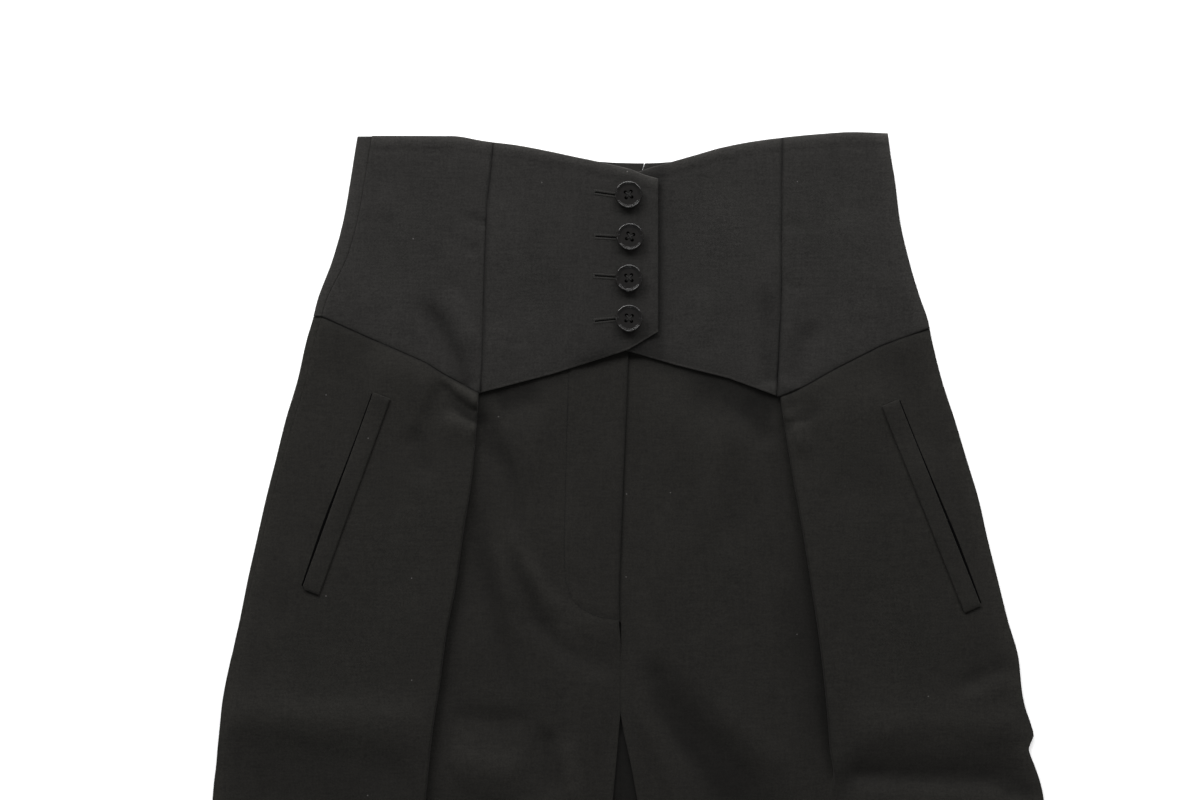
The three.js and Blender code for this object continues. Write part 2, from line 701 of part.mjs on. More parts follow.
// A welt: a narrow strip on the leg front, made from the front's points, moved out
function weltGrid({ side, top_x, top_y, low_x, low_y, inward }) {
  const out = LEG_CLOTH / 2 + LAP_GAP + WELT_CLOTH / 2;
  const lengthwise = new THREE.Vector2(low_x - top_x, low_y - top_y);
  const across = new THREE.Vector2(-lengthwise.y, lengthwise.x).normalize();
  across.multiplyScalar(Math.sign(across.x) * inward * WELT_WIDTH);
  const steps = 10;
  const rows = [];
  for (let i = steps; i >= 0; i -= 1) {
    const row = [0, 0.5, 1].map((share) => {
      const x = top_x + (lengthwise.x * i) / steps + across.x * share;
      const y = top_y + (lengthwise.y * i) / steps + across.y * share;
      return new THREE.Vector3(x, y, sidePartZ(side, x, y) + out);
    });
    rows.push(inward > 0 ? row : row.reverse());
  }
  return rows;
}

// Thickens a grid of points along the middle of the cloth into a closed wall. Columns run
// along +X and rows along +Y, so that the first surface faces up.
function wallGeometry(grid, cloth) {
  const rows = grid.length;
  const columns = grid[0].length;
  const clampRow = (i) => Math.min(rows - 1, Math.max(0, i));
  const clampColumn = (j) => Math.min(columns - 1, Math.max(0, j));
  const upper = [];
  const lower = [];
  for (let i = 0; i < rows; i += 1) {
    for (let j = 0; j < columns; j += 1) {
      const along = grid[i][clampColumn(j + 1)].clone().sub(grid[i][clampColumn(j - 1)]);
      const up = grid[clampRow(i + 1)][j].clone().sub(grid[clampRow(i - 1)][j]);
      const normal = along.cross(up).normalize().multiplyScalar(cloth / 2);
      upper.push(grid[i][j].clone().add(normal));
      lower.push(grid[i][j].clone().sub(normal));
    }
  }
  const count = rows * columns;
  const at = (i, j) => i * columns + j;
  const index = [];
  const quad = (a, b, c, d) => index.push(a, b, c, a, c, d);
  for (let i = 0; i < rows - 1; i += 1) {
    for (let j = 0; j < columns - 1; j += 1) {
      quad(at(i, j), at(i, j + 1), at(i + 1, j + 1), at(i + 1, j));
      quad(
        count + at(i, j),
        count + at(i + 1, j),
        count + at(i + 1, j + 1),
        count + at(i, j + 1),
      );
    }
  }
  for (let j = 0; j < columns - 1; j += 1) {
    quad(count + at(0, j), count + at(0, j + 1), at(0, j + 1), at(0, j));
    quad(at(rows - 1, j), at(rows - 1, j + 1), count + at(rows - 1, j + 1), count + at(rows - 1, j));
  }
  for (let i = 0; i < rows - 1; i += 1) {
    quad(at(i, 0), at(i + 1, 0), count + at(i + 1, 0), count + at(i, 0));
    quad(
      count + at(i, columns - 1),
      count + at(i + 1, columns - 1),
      at(i + 1, columns - 1),
      at(i, columns - 1),
    );
  }
  const exact = (value) => Math.round(value * 10000) / 10000;
  const positions = [...upper, ...lower].flatMap((p) => [exact(p.x), exact(p.y), exact(p.z)]);
  const geometry = new THREE.BufferGeometry();
  geometry.setAttribute('position', new THREE.Float32BufferAttribute(positions, 3));
  geometry.setIndex(index);
  geometry.computeVertexNormals();
  return geometry;
}

function toSolid(geometry) {
  const bare = geometry.clone();
  bare.deleteAttribute('normal');
  bare.deleteAttribute('uv');
  const merged = mergeVertices(bare);
  const mesh = new wasm.Mesh({
    numProp: 3,
    vertProperties: Float32Array.from(merged.attributes.position.array),
    triVerts: Uint32Array.from(merged.index.array),
  });
  return new wasm.Manifold(mesh);
}

// A turned button with a rounded rim, a dished middle and four holes, its axis along Z
function buttonGeometry() {
  const radius = BUTTON_DIAMETER / 2;
  const profile = [
    [0, 0],
    [radius - 2.4, 0],
    [radius - 0.5, 0.9],
    [radius, 2.0],
    [radius - 0.4, 3.1],
    [radius - 1.2, BUTTON_HEIGHT],
    [radius - 2.2, 3.0],
    [radius - 2.9, 2.3],
    [0, 2.1],
  ].map(([r, z]) => new THREE.Vector2(r, z));
  const body = new THREE.LatheGeometry(profile, 24).rotateX(Math.PI / 2);
  let solid = toSolid(body);
  for (const x of [-BUTTON_HOLE_OFFSET, BUTTON_HOLE_OFFSET]) {
    for (const y of [-BUTTON_HOLE_OFFSET, BUTTON_HOLE_OFFSET]) {
      const drill = new THREE.CylinderGeometry(BUTTON_HOLE / 2, BUTTON_HOLE / 2, 12, 8);
      drill.rotateX(Math.PI / 2).translate(x, y, 0);
      solid = solid.subtract(toSolid(drill));
    }
  }
  const { vertProperties, triVerts } = solid.getMesh();
  const geometry = new THREE.BufferGeometry();
  geometry.setAttribute('position', new THREE.Float32BufferAttribute(vertProperties, 3));
  geometry.setIndex(Array.from(triVerts));
  geometry.computeVertexNormals();
  return geometry;
}

function cloth(name, grid, thickness, material) {
  const mesh = new THREE.Mesh(wallGeometry(grid, thickness), material);
  mesh.name = name;
  return mesh;
}

const finish = (color, roughness) =>
  new THREE.MeshStandardMaterial({ color, roughness, metalness: 0 });
const suiting = () => finish(0x2b2a28, 0.95);
const yokeSuiting = () => finish(0x31302e, 0.93);
const horn = () => finish(0x1c1a19, 0.22);

function makeYoke() {
  const yoke = new THREE.Group();
  for (const side of ['right', 'left']) {
    yoke.add(cloth(`yoke_back_${side}`, yokeBackGrid(side), YOKE_CLOTH, yokeSuiting()));
    yoke.add(cloth(`yoke_front_side_${side}`, yokeSideGrid(side), YOKE_CLOTH, yokeSuiting()));
    yoke.add(cloth(`yoke_front_centre_${side}`, yokeCentreGrid(side), YOKE_CLOTH, yokeSuiting()));
  }
  return yoke;
}

function makeLeg(side) {
  const leg = new THREE.Group();
  leg.add(cloth(`leg_back_${side}`, legBackGrid(side), LEG_CLOTH, suiting()));
  leg.add(cloth(`leg_front_${side}`, legFrontGrid(side), LEG_CLOTH, suiting()));
  const welt = WELTS.find((row) => row.side === side);
  leg.add(cloth(`pocket_welt_${side}`, weltGrid(welt), WELT_CLOTH, suiting()));
  return leg;
}

// The buttons lie on the overlap, tilted with its slope
function makeButtons() {
  const buttons = new THREE.Group();
  const geometry = buttonGeometry();
  BUTTONS.forEach(({ x, y }, i) => {
    const button = new THREE.Mesh(geometry.clone(), horn());
    const reach = BUTTON_DIAMETER / 2;
    const slope = (overlapZ(x, y + reach) - overlapZ(x, y - reach)) / (2 * reach);
    const highest = Math.max(overlapZ(-6, y), overlapZ(2, y));
    button.rotation.x = Math.atan(slope);
    button.position.set(x, y, highest + YOKE_CLOTH / 2 + LAP_GAP);
    button.name = `button_${i + 1}`;
    buttons.add(button);
  });
  return buttons;
}

const trousers = new THREE.Group();
trousers.add(makeLeg('right'), makeLeg('left'), makeYoke(), makeButtons());

export default trousers;
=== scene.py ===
"""Dresses tapered, pleated trousers that lie face up: cloth shells with their folds, welts,
buttons, buttonholes, stitches and the stage. Sizes in the tables are millimetres; X runs to
the viewer's right, Y towards the waist and Z up. Right and left are the wearer's, so right
pieces have negative X."""

import math
from functools import partial

import bpy
import numpy as np
from bpy.props import FloatProperty, FloatVectorProperty, IntProperty, PointerProperty
from mathutils import Matrix, Vector, noise


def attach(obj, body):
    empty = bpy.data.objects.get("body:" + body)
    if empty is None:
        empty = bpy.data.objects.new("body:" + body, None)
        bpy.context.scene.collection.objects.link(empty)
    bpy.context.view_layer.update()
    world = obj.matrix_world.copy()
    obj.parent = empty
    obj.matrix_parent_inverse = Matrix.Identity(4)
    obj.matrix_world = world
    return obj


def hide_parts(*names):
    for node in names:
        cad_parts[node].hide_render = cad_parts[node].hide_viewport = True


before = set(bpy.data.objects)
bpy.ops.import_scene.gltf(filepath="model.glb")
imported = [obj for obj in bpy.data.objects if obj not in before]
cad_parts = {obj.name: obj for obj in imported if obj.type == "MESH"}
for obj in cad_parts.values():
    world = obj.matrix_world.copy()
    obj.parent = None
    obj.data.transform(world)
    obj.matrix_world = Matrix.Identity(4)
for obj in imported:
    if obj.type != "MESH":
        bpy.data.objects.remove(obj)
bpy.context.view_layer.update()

bl_info = {
    "name": "Pleated trousers, laid flat",
    "version": (1, 0, 0),
    "blender": (4, 5, 0),
    "location": "View3D > Sidebar > Trousers",
    "description": "Makes the cloth, buttons and stitches of flat-lying pleated trousers",
    "category": "Object",
}

MM = 0.001

# Heights of the cloth's middle, as in the solids
LEG_WALL = 1.2
YOKE_WALL = 1.6
SEAM_GAP = 0.3
TOUCH = -0.1  # sewn pieces' rounded edges run into each other by this much
LAP_GAP = 0.35
LEG_BACK_Z = LEG_WALL / 2
YOKE_BACK_Z = YOKE_WALL / 2
LEG_EDGE_Z = LEG_WALL * 1.5 + SEAM_GAP
YOKE_EDGE_Z = YOKE_WALL * 1.5 + SEAM_GAP
PLEAT_BASE = 2.6
FOLD_PITCH = 1.5
PLEAT_LOFT = 0.9
SIDE_LOFT = 2.4
CENTRE_LOFT = 3.0
LEG_RELIEF = 1.2
# Painted shade in troughs and painted light on ridges, per millimetre of fold height
RELIEF_PAINTED_SHADING = 0.1
YOKE_RELIEF = 1.5
CROWN_RISE = 25.0
LEG_CROWN = 1.1
YOKE_CROWN = 1.0
UNDERLAP = 22.0
LAP_EDGE = 20.0
UNDER_YOKE = 10.0
PLEAT_TOP = 358.0
PLEAT_COVER = 4.0
TOP_BLOCK = 330.0  # rows above this height follow the yoke seam
HEM_Y = -530.0

# Spans over which a height or a shade comes or goes, as the places where it starts and ends
SIDE_LOFT_FADE = (400.0, 300.0)
SIDE_LOFT_REACH = 50.0
PITCH_GROWS = (345.0, 270.0)
PLEAT_FLATTENS = (-65.0, -200.0)
LEFT_PLEAT_FLATTENS = (118.0, 70.0)
LEFT_PLEAT_REST = 0.45
PLEAT_OPENS = {"right": (10.0, -60.0), "left": (124.0, 88.0)}
PLEAT_OPEN_WIDTH = 9.0
FLY_FLAT = {"right": 34.0, "left": 7.0}
FLY_RISES = (-46.0, -34.0)
FLY_STARTS = (172.0, 203.0)
FLY_LIFT = LEG_WALL + SEAM_GAP
CROTCH_FADE = (203.0, 86.0)
UNDER_YOKE_RISE = (-2.0, 42.0)

# Room that reliefs need beside edges, pleats and the crotch
EDGE_ROOM = 12.0
PLEAT_ROOM = 10.0
RIDGE_ON_PLEAT = 0.65
CENTRE_LOFT_REACH = 34.0
RELIEF_AT_CENTRE = 0.3
RELIEF_UNDER_YOKE = 0.15
FLOOR_DROP = 0.3  # how far below the side edge's height a trough may come
FLOOR_BEND = 0.35
BEND_OVER = 20.0  # past this many bends above the floor the height is left as it is

# Pressed lines
LEG_SEAM_DIP = 1.2
SEAM_DIP = 0.6
SEAM_DIP_WIDTH = 1.8
FLY_PRESS = 0.35
FLY_PRESS_WIDTH = 1.6
HEM_DIP = 0.6
HEM_DIP_WIDTH = 4.0
LAP_DIP = 1.3
LAP_DIP_WIDTH = 3.2
TOP_GROOVE = (-0.28, 9.5, 2.6)  # height, distance below the top edge, width
TOP_BEAD = (0.22, 4.0, 3.2)

# Uneven waviness: stretch across, size, height and change of seed
LEG_WAVES = ((1.0, 30.0, 0.45, 0.0), (0.7, 80.0, 1.1, 4.0))
WAVE_SEEDS = {"right": 3.0, "left": 8.0}
YOKE_WAVE = 26.0
SIDE_WAVE_HEIGHT = 0.35
CENTRE_WAVE_HEIGHT = 0.32

# The yoke's heights
STACK_FALLS = (396.0, 505.0)  # the stack beneath the centre panels thins out between these
SIDE_RISE = 0.3
SEAM_STEP = 0.2
SETTLES_ABOVE = (0.0, 70.0)  # above the seam, from the leg's height to the yoke's own
SIDE_ROOM = 14.0
SIDE_SEAM_SHARE = 0.6
FLY_PASSES = (12.0, 2.0)
CENTRE_LEVELS = (3.7, 4.5)  # at the top, at the lower edge
CENTRE_SEAM_RISE = 0.5
OVERLAP_RISES = (-40.0, -24.0)
CENTRE_STRIP = 12.0  # half width of the strip over the buttons, which stays level across
LAP_CURL = (8.0, 20.0)  # across these the overlap's free edge rises by a millimetre
RELIEF_SHOWN = {"right": (-24.0, -60.0), "left": (24.0, 40.0)}
RELIEF_ON_STACK = 0.15
LAP_DIP_SPANS = ((-42.0, -28.0), (0.0, -14.0))

# Rows and columns of the grids
LEG_ROWS = (
    (HEM_Y, 60.0, 5.0), (60.0, 194.0, 3.2), (194.0, 240.0, 1.8), (240.0, TOP_BLOCK - 1.5, 3.2),
)
BACK_ROWS = ((HEM_Y, 160.0, 8.0), (160.0, 326.0, 4.0))
FLY_BAND = {"right": 46.0, "left": 30.0}
BACK_ROOM = {"edge": 30.0, "inner": 24.0}
FULL_TURN = 0.9 * math.pi  # a bend past this lies on the front
BACK_YOKE_LEVELS = (400.0, 528.0)
RIM_SHARE = 0.45  # how far a rim may reach towards the next line of the grid
TURN_STEPS = 8
PLEAT_INSET = 0.5
PAST_PLEAT = 1.5

# Painted shade and light, multiplied into the cloth's colour
EDGE_LIGHT = (0.4, 7.5)  # strength, width
SEAM_SHADE = (0.5, 0.9)
# Painted light just under the yoke's hem, where its real shadow falls
HEM_PAINTED_LIGHT = (0.35, 1.6)
HEM_SHADE = 0.47
HEM_SHADE_REACH = (6.0, 4.5)  # at the centre, and what is added towards the sides
HEM_SHADE_GROWS = (35.0, 70.0)
BAND_CURVE = 1.6
BAND_START = 1.5
LEG_TONES = (0.45, 1.4)  # darkest and lightest
YOKE_TONES = (0.6, 1.3)
FLY_EDGE_SHADE = (0.28, 1.8)
FLY_EDGE_FROM = (190.0, 205.0)
RAISED_LIGHT = {"right": 0.06, "left": 0.0}
RAISED_PLACE = {"x": -38.0, "y": 258.0, "across": 32.0, "along": 75.0}
# Painted highlight along the yoke's rolled top edge
TOP_EDGE_PAINTED_LIGHT = ((0.8, 5.0), (0.7, 1.2))
# Painted light on the rounded hem of the centre panels
HEM_RIM_PAINTED_LIGHT = (1.3, 0.8)
CORNER_SHADE = (0.2, 6.0, 26.0)  # strength, height, width
STRIP_SHADE = (0.13, 44.0)
STRIP_MIDDLE = -8.0
LAP_SHADOW = (0.36, 4.2)
LAP_SHADOW_FROM = LAP_EDGE + 0.5
BACK_SHADE = (0.65, 6.0)
BACK_SHADE_STRIP = (-2.0, 10.0)  # its middle and half width
BACK_SHADE_GROWS = (-60.0, 60.0)


def table(columns, *rows):
    """Rows of numbers with named columns, in rising order of the first column."""
    names = columns.split()
    ordered = np.array(sorted(rows), dtype=float)
    columns_by_name = {name: ordered[:, i] for i, name in enumerate(names)}
    columns_by_name["key"] = names[0]
    return columns_by_name


def read(rows, column, place):
    """A table's column at a place along its first column, on straight lines."""
    return np.interp(place, rows[rows["key"]], rows[column])


def smooth(rows, column, place):
    """A table's column at a place along its first column, on a curve without overshoot."""
    x, y = rows[rows["key"]], rows[column]
    step, slope = np.diff(x), np.diff(y) / np.diff(x)
    bend = np.zeros_like(y)
    bend[0], bend[-1] = slope[0], slope[-1]
    before, after = slope[:-1], slope[1:]
    weight_a, weight_b = 2 * step[1:] + step[:-1], step[1:] + 2 * step[:-1]
    same = before * after > 0
    safe_a, safe_b = np.where(same, before, 1.0), np.where(same, after, 1.0)
    mean = (weight_a + weight_b) / (weight_a / safe_a + weight_b / safe_b)
    bend[1:-1] = np.where(same, mean, 0.0)
    place = np.clip(np.asarray(place, dtype=float), x[0], x[-1])
    i = np.clip(np.searchsorted(x, place) - 1, 0, len(step) - 1)
    t = (place - x[i]) / step[i]
    return (
        (1 + 2 * t) * (1 - t) ** 2 * y[i]
        + t * (1 - t) ** 2 * step[i] * bend[i]
        + t * t * (3 - 2 * t) * y[i + 1]
        + t * t * (t - 1) * step[i] * bend[i + 1]
    )


def clamp01(value):
    return np.clip(value, 0.0, 1.0)


def ramp(start, end, value):
    return clamp01((value - start) / (end - start))


def ease(share):
    return share * share * (3 - 2 * share)


def bell(distance, width):
    return np.exp(-((distance / width) ** 2))


def mix(a, b, share):
    return a + (b - a) * share


OUTLINE = table(
    "y right left",
    (530, -180.2, 173.2), (514, -182.8, 175.3), (498, -185.3, 178), (471.3, -190, 181.3),
    (444.7, -197.3, 187.3), (418, -207.3, 195.3), (404.7, -210.7, 200), (391.3, -214.7, 202.7),
    (364.7, -220.7, 209.3), (338, -228.7, 218), (311.3, -235.3, 226), (284.7, -242, 234),
    (258, -248, 240), (231.3, -254, 246.7), (204.7, -259.3, 253.3), (178, -265.3, 260.7),
    (158, -269.5, 262.7), (147.3, -271.2, 264.7), (135.3, -272.4, 268.7), (127.3, -273.2, 270.7),
    (119.3, -274, 267.3), (107.3, -275, 271.3), (95.3, -276.5, 275.3), (85.3, -277.3, 277.3),
    (65, -279, 279), (40, -278.6, 278.6), (0, -275.5, 275.5), (-50, -268, 268), (-100, -258, 258),
    (-160, -245, 245), (-240, -232, 232), (-320, -223.5, 223.5), (-400, -216.5, 216.5),
    (-470, -211, 211), (-530, -207, 207),
)

FRONT_INNER = table(
    "y right left",
    (398, 0.8, -UNDERLAP), (384, 0.3, -UNDERLAP), (333, -1.8, -UNDERLAP),
    (280, -4, -UNDERLAP), (226.7, -6, -UNDERLAP), (212, -6, -UNDERLAP),
    (203, -6, -4.85), (190, -4.95, -5.05), (143, -4.95, -5.05), (130, -6.2, -3), (108, -8, 2),
    (86, -10, 6), (65, -12.5, 10), (0, -19, 18), (-65, -24, 23.5), (-160, -29, 29), (-275, -34, 34),
    (-395, -38.5, 38.5), (-530, -42, 42),
)

BACK_INNER = table(
    "y right left",
    (410, -4.45, -4.55), (75, -4.45, -4.55), (40, -11.5, 8), (0, -18, 17), (-65, -24, 23.5),
    (-160, -29, 29), (-275, -34, 34), (-395, -38.5, 38.5), (-530, -42, 42),
)

SIDE_WRAP = table(
    "y wrap bend",
    (530, 10, 180), (450, 9.6, 180), (409, 5.8, 180), (348, 6, 180), (318, 5.3, 180), (282, 4.2, 180),
    (240, 3.8, 180), (203, 2.2, 180), (196, 1.3, 150), (190, 0.9, 90), (184, 0.5, 40), (178, 0.15, 0),
    (-530, 0.15, 0),
)

TOP_EDGES = {
    "right": table(
        "x y",
        (-182, 527.6), (-117, 527.3), (-96, 524), (-74.7, 521.3), (-53.3, 517.3), (-32, 512.7),
        (-10.7, 508), (2.7, 504.7), (9, 502), (20, 498.7),
    ),
    "left": table(
        "x y",
        (-22, 500), (5, 503), (14, 506), (25, 509), (42.7, 514), (64, 520), (85.3, 524), (106.7, 526.7),
        (128, 528.7), (149.3, 530), (173.3, 529.3),
    ),
}
TOP_BACK = table(
    "x y",
    (-182, 527.6), (-168, 527), (-160, 525.4), (-117, 525.2), (-74.7, 519.2), (-32, 511.8), (-6, 509.7),
    (11, 509.4), (22, 509.8), (42.7, 512.2), (64, 518), (106.7, 524.7), (149.3, 528), (175, 527.3),
)

PRINCESS = table(
    "y right left",
    (522, -90, 103), (481.3, -94, 102.4), (438, -95.7, 102.2), (408, -96.4, 102), (376.7, -97.3, 100.6),
    (354, -98.7, 99.3),
)

YOKE_SEAMS = {
    "right": table(
        "x y",
        (-214, 411), (-208, 408.7), (-177.3, 394.7), (-134.7, 375.9), (-122, 367.8), (-98.7, 355.3),
    ),
    "left": table(
        "x y",
        (101, 353.5), (117.3, 360.2), (138.7, 372.3), (168.4, 387.3), (203, 400),
    ),
    "back": table(
        "x y",
        (-214, 411), (-204, 406.9), (-100, 392), (-4.5, 385), (100, 389), (203, 400),
    ),
}

CENTRE_HEMS = {
    "right": table("x y", (-98.7, 356.0), (-50.0, 368.7), (0.0, 384.7), (20.0, 396.7)),
    "left": table(
        "x y",
        (-22, 390), (2.7, 383), (32.3, 374.4), (66.4, 366), (99.3, 354),
    ),
}

LEG_TOPS = {
    "right": table(
        "x y",
        (-98.7, 355.3),
        (-88.0, 358.8 + UNDER_YOKE),
        (-50.0, 368.7 + UNDER_YOKE),
        (0.8, 384.9 + UNDER_YOKE),
    ),
    "left": table(
        "x y",
        (-22.0, 390.0 + UNDER_YOKE),
        (2.7, 383.0 + UNDER_YOKE),
        (32.3, 374.4 + UNDER_YOKE),
        (66.4, 366.0 + UNDER_YOKE),
        (90.0, 357.4 + UNDER_YOKE),
        (101, 353.5),
    ),
}

CENTRE_BACK = table(
    "y x half_gap",
    (512, 11.8, 0.5), (506, 9.9, 0.1), (500, 8.5, -0.05), (440, 1, -0.05), (385, -4.5, -0.05),
)

PLEATS = table(
    "y right left depth",
    (358, -99.4, 101.2, 20), (337, -100.7, 103.9, 19.5), (299, -104, 109.9, 18),
    (265, -109.3, 116, 16.5), (227, -114.7, 122, 15), (195, -120.9, 126.8, 13.5),
    (163, -125.1, 130.6, 12), (131, -130, 133.4, 10.5), (85, -134.7, 136, 7), (40, -138, 138.5, 2.5),
    (10, -139.5, 139.5, 0.6), (-530, -124.5, 124.5, 0.6),
)

# Soft folds as straight or bowed runs: their widths on the two sides of the run, the ridge's
# height (a trough's is negative), and the shares of the run over which the ends fade
FOLD_COLUMNS = "x1 y1 x2 y2 bow left right height fade_in fade_out"


def fold_rows(*rows):
    return [dict(zip(FOLD_COLUMNS.split(), row)) for row in rows]


LEG_FOLDS = {
    "right": fold_rows(
        (-176, 380, -126, 357, 2, 16, 24, 2.0, 0.35, 0.15),
        (-128, 342, -101, 332, 1, 5, 11, 2.6, 0.4, 0.06),
        (-129, 368, -99, 349.5, 0, 4.2, 5.2, 2.6, 0.35, 0.03),
        (-121, 358, -99, 345, 0, 6, 7, 1.6, 0.3, 0.03),
        (-144, 336, -130, 294, 1, 7, 8, -1.5, 0.3, 0.4),
        (-87, 262, -77, 208, 1, 5, 5, 1.0, 0.3, 0.3),
        (-88, 348, -54, 358, 0, 12, 9, -2.8, 0.1, 0.35),
        (-276, 145, -126, 141, 4, 14, 22, 1.9, 0.1, 0.12),
        (-122, 141, -58, 137, 1, 8, 8, -1.2, 0.2, 0.3),
        (-262, 92, -160, 78, 5, 18, 20, -1.2, 0.2, 0.35),
        (-124, 117, -62, 105, 3, 12, 15, 2.0, 0.2, 0.3),
        (-120, 88, -70, 72, 2, 10, 13, -1.3, 0.3, 0.3),
        (-55, 136, -47, 82, 1, 6, 8, -1.8, 0.25, 0.3),
        (-40, 130, -32, 74, 1, 7, 9, 1.4, 0.3, 0.3),
        (-196, 330, -168, 214, 4, 12, 16, 0.7, 0.3, 0.4),
        (-248, 220, -222, 120, -3, 8, 12, 0.8, 0.3, 0.4),
        (-236, 72, -164, 44, 4, 14, 18, 1.8, 0.25, 0.35),
        (-262, 34, -158, -22, 8, 18, 26, 2.6, 0.2, 0.3),
        (-258, 4, -186, -48, 6, 10, 16, -1.6, 0.25, 0.35),
        (-58, 26, -128, -30, 6, 14, 20, 2.2, 0.25, 0.3),
        (-44, -20, -96, -66, 4, 9, 12, -1.4, 0.25, 0.35),
        (-240, -126, -122, -178, 7, 16, 24, 2.6, 0.2, 0.3),
        (-228, -168, -150, -206, 4, 9, 14, -1.5, 0.25, 0.35),
        (-46, -196, -126, -240, 5, 14, 20, 2.2, 0.25, 0.3),
        (-222, -262, -176, -292, 3, 8, 12, 1.1, 0.3, 0.3),
        (-214, -330, -128, -374, 6, 18, 24, 1.9, 0.25, 0.3),
        (-60, -372, -104, -404, 3, 10, 14, 1.2, 0.3, 0.3),
        (-198, -440, -150, -462, 2, 10, 14, 1.1, 0.3, 0.3),
    ),
    "left": fold_rows(
        (118, 331, 186, 358, -2, 20, 20, 1.6, 0.25, 0.3),
        (128, 304, 180, 280, 0, 16, 18, -0.9, 0.3, 0.3),
        (107, 346, 116, 312, -1, 7, 4, 2.9, 0.25, 0.35),
        (125, 160, 135, 116, 0, 8, 6, -1.6, 0.3, 0.1),
        (76, 352, 97, 318, 0, 10, 8, -1.8, 0.2, 0.3),
        (102, 332, 129, 350, 1, 4, 4.5, -2.2, 0.12, 0.35),
        (34, 363, 98, 343, 0, 12, 14, -3.2, 0.3, 0.06),
        (76, 336, 72, 236, 2, 8, 9, -0.9, 0.3, 0.4),
        (56, 340, 58, 250, 2, 8, 9, 0.9, 0.3, 0.4),
        (22, 300, 30, 210, 2, 10, 12, 0.7, 0.35, 0.4),
        (104, 232, 120, 140, 3, 11, 6, -1.0, 0.3, 0.3),
        (90, 250, 100, 172, 3, 10, 8, 0.9, 0.35, 0.35),
        (140, 131, 268, 137, -3, 14, 12, 1.5, 0.2, 0.15),
        (134, 101.5, 276, 96, -1, 13, 7, -2.7, 0.06, 0.08),
        (136, 102.5, 178, 101.5, 1, 4, 3, -0.6, 0.2, 0.4),
        (136, 80, 276, 83, 1, 10, 10, 1.3, 0.15, 0.15),
        (150, 56, 264, 60, 1, 9, 12, -1.0, 0.2, 0.2),
        (212, 160, 260, 177, 1, 5, 6, -0.8, 0.35, 0.1),
        (216, 150, 264, 167, 1, 6, 8, 1.0, 0.35, 0.1),
        (242, 88, 280, 93, 1, 4, 5, -1.8, 0.35, 0.1),
        (54, 158, 110, 100, 4, 10, 14, 1.3, 0.3, 0.3),
        (186, 330, 204, 220, -4, 12, 16, 0.7, 0.3, 0.4),
        (152, 300, 150, 214, 2, 12, 14, 0.6, 0.3, 0.4),
        (196, 62, 262, 40, 4, 14, 18, 1.8, 0.25, 0.3),
        (266, 12, 172, -42, -8, 18, 24, 2.6, 0.2, 0.3),
        (248, -18, 190, -56, -5, 10, 14, -1.5, 0.25, 0.35),
        (66, 24, 130, -36, -6, 16, 20, 2.2, 0.25, 0.3),
        (50, -24, 92, -70, -4, 9, 12, -1.5, 0.3, 0.35),
        (48, -146, 122, -198, -7, 16, 22, 2.4, 0.2, 0.3),
        (60, -186, 112, -222, -4, 9, 12, -1.3, 0.3, 0.35),
        (234, -146, 138, -118, 5, 14, 20, 2.0, 0.25, 0.3),
        (208, -298, 120, -342, -6, 18, 24, 1.9, 0.25, 0.3),
        (190, -214, 158, -244, -2, 10, 12, 1.0, 0.3, 0.3),
        (62, -386, 106, -414, -3, 10, 14, 1.2, 0.3, 0.3),
        (196, -436, 152, -462, -2, 10, 14, 1.1, 0.3, 0.3),
    ),
}

# Longer folds that wind, as points along them with the widths on their two sides
WINDING_COLUMNS = "x y left right height"
WINDING_FOLDS = {
    "right": (
        (
            (-100, 350, 5, 6, 0), (-97, 338, 5, 7, -2.8), (-89, 321, 5, 7, -3.2), (-79, 301, 6, 7, -2),
            (-74, 280, 6, 7, -1.6), (-74, 258, 6, 6, -1), (-71, 232, 6, 6, -1.4),
            (-62, 205, 6, 7, -2.2), (-44, 187, 7, 7, -2.2), (-26, 174, 8, 8, -1), (-8, 167, 8, 8, 0),
        ),
        (
            (-79, 274, 4, 6, 0), (-75, 256, 4, 6, 1.6), (-66, 239, 5, 6, 2), (-51, 217, 5, 7, 2),
            (-33, 203, 6, 8, 1), (-14, 194, 6, 8, 0),
        ),
        (
            (-103, 294, 5, 7, 0), (-101, 264, 6, 7, -2.2), (-93, 228, 6, 7, -2.6),
            (-86, 196, 6, 7, -2.3), (-80, 168, 6, 8, -1.4), (-77, 146, 6, 8, 0),
        ),
        (
            (-286, 122, 14, 24, -1.3), (-235, 120, 14, 28, -1.6), (-190, 114, 14, 28, -1.45),
            (-158, 103, 14, 26, -1.4), (-138, 86, 13, 24, -1.6), (-124, 62, 12, 20, -0.6),
        ),
        (
            (-125, 367, 3, 2.5, 0), (-120, 357, 4.5, 2.5, -2.8), (-114, 347.5, 6, 2.6, -4),
            (-106.5, 340.5, 6, 2.8, -4), (-98, 337, 5.5, 3, -3),
        ),
    ),
    "left": (
        (
            (10, 186, 10, 7, 0), (18, 163, 13, 8, -2.4), (26, 142, 17, 8, -3.8), (38, 124, 20, 8, -4.6),
            (54, 108, 21, 13, -4.8), (68, 94, 20, 19, -4.8), (82, 76, 20, 14, -3.2),
            (97, 54, 18, 14, 0),
        ),
        (
            (4, 156, 6, 6, 0), (13, 132, 6, 6, 0.7), (24, 108, 6, 7, 0.6), (34, 86, 7, 8, 0.3),
            (52, 66, 8, 9, 0),
        ),
    ),
}

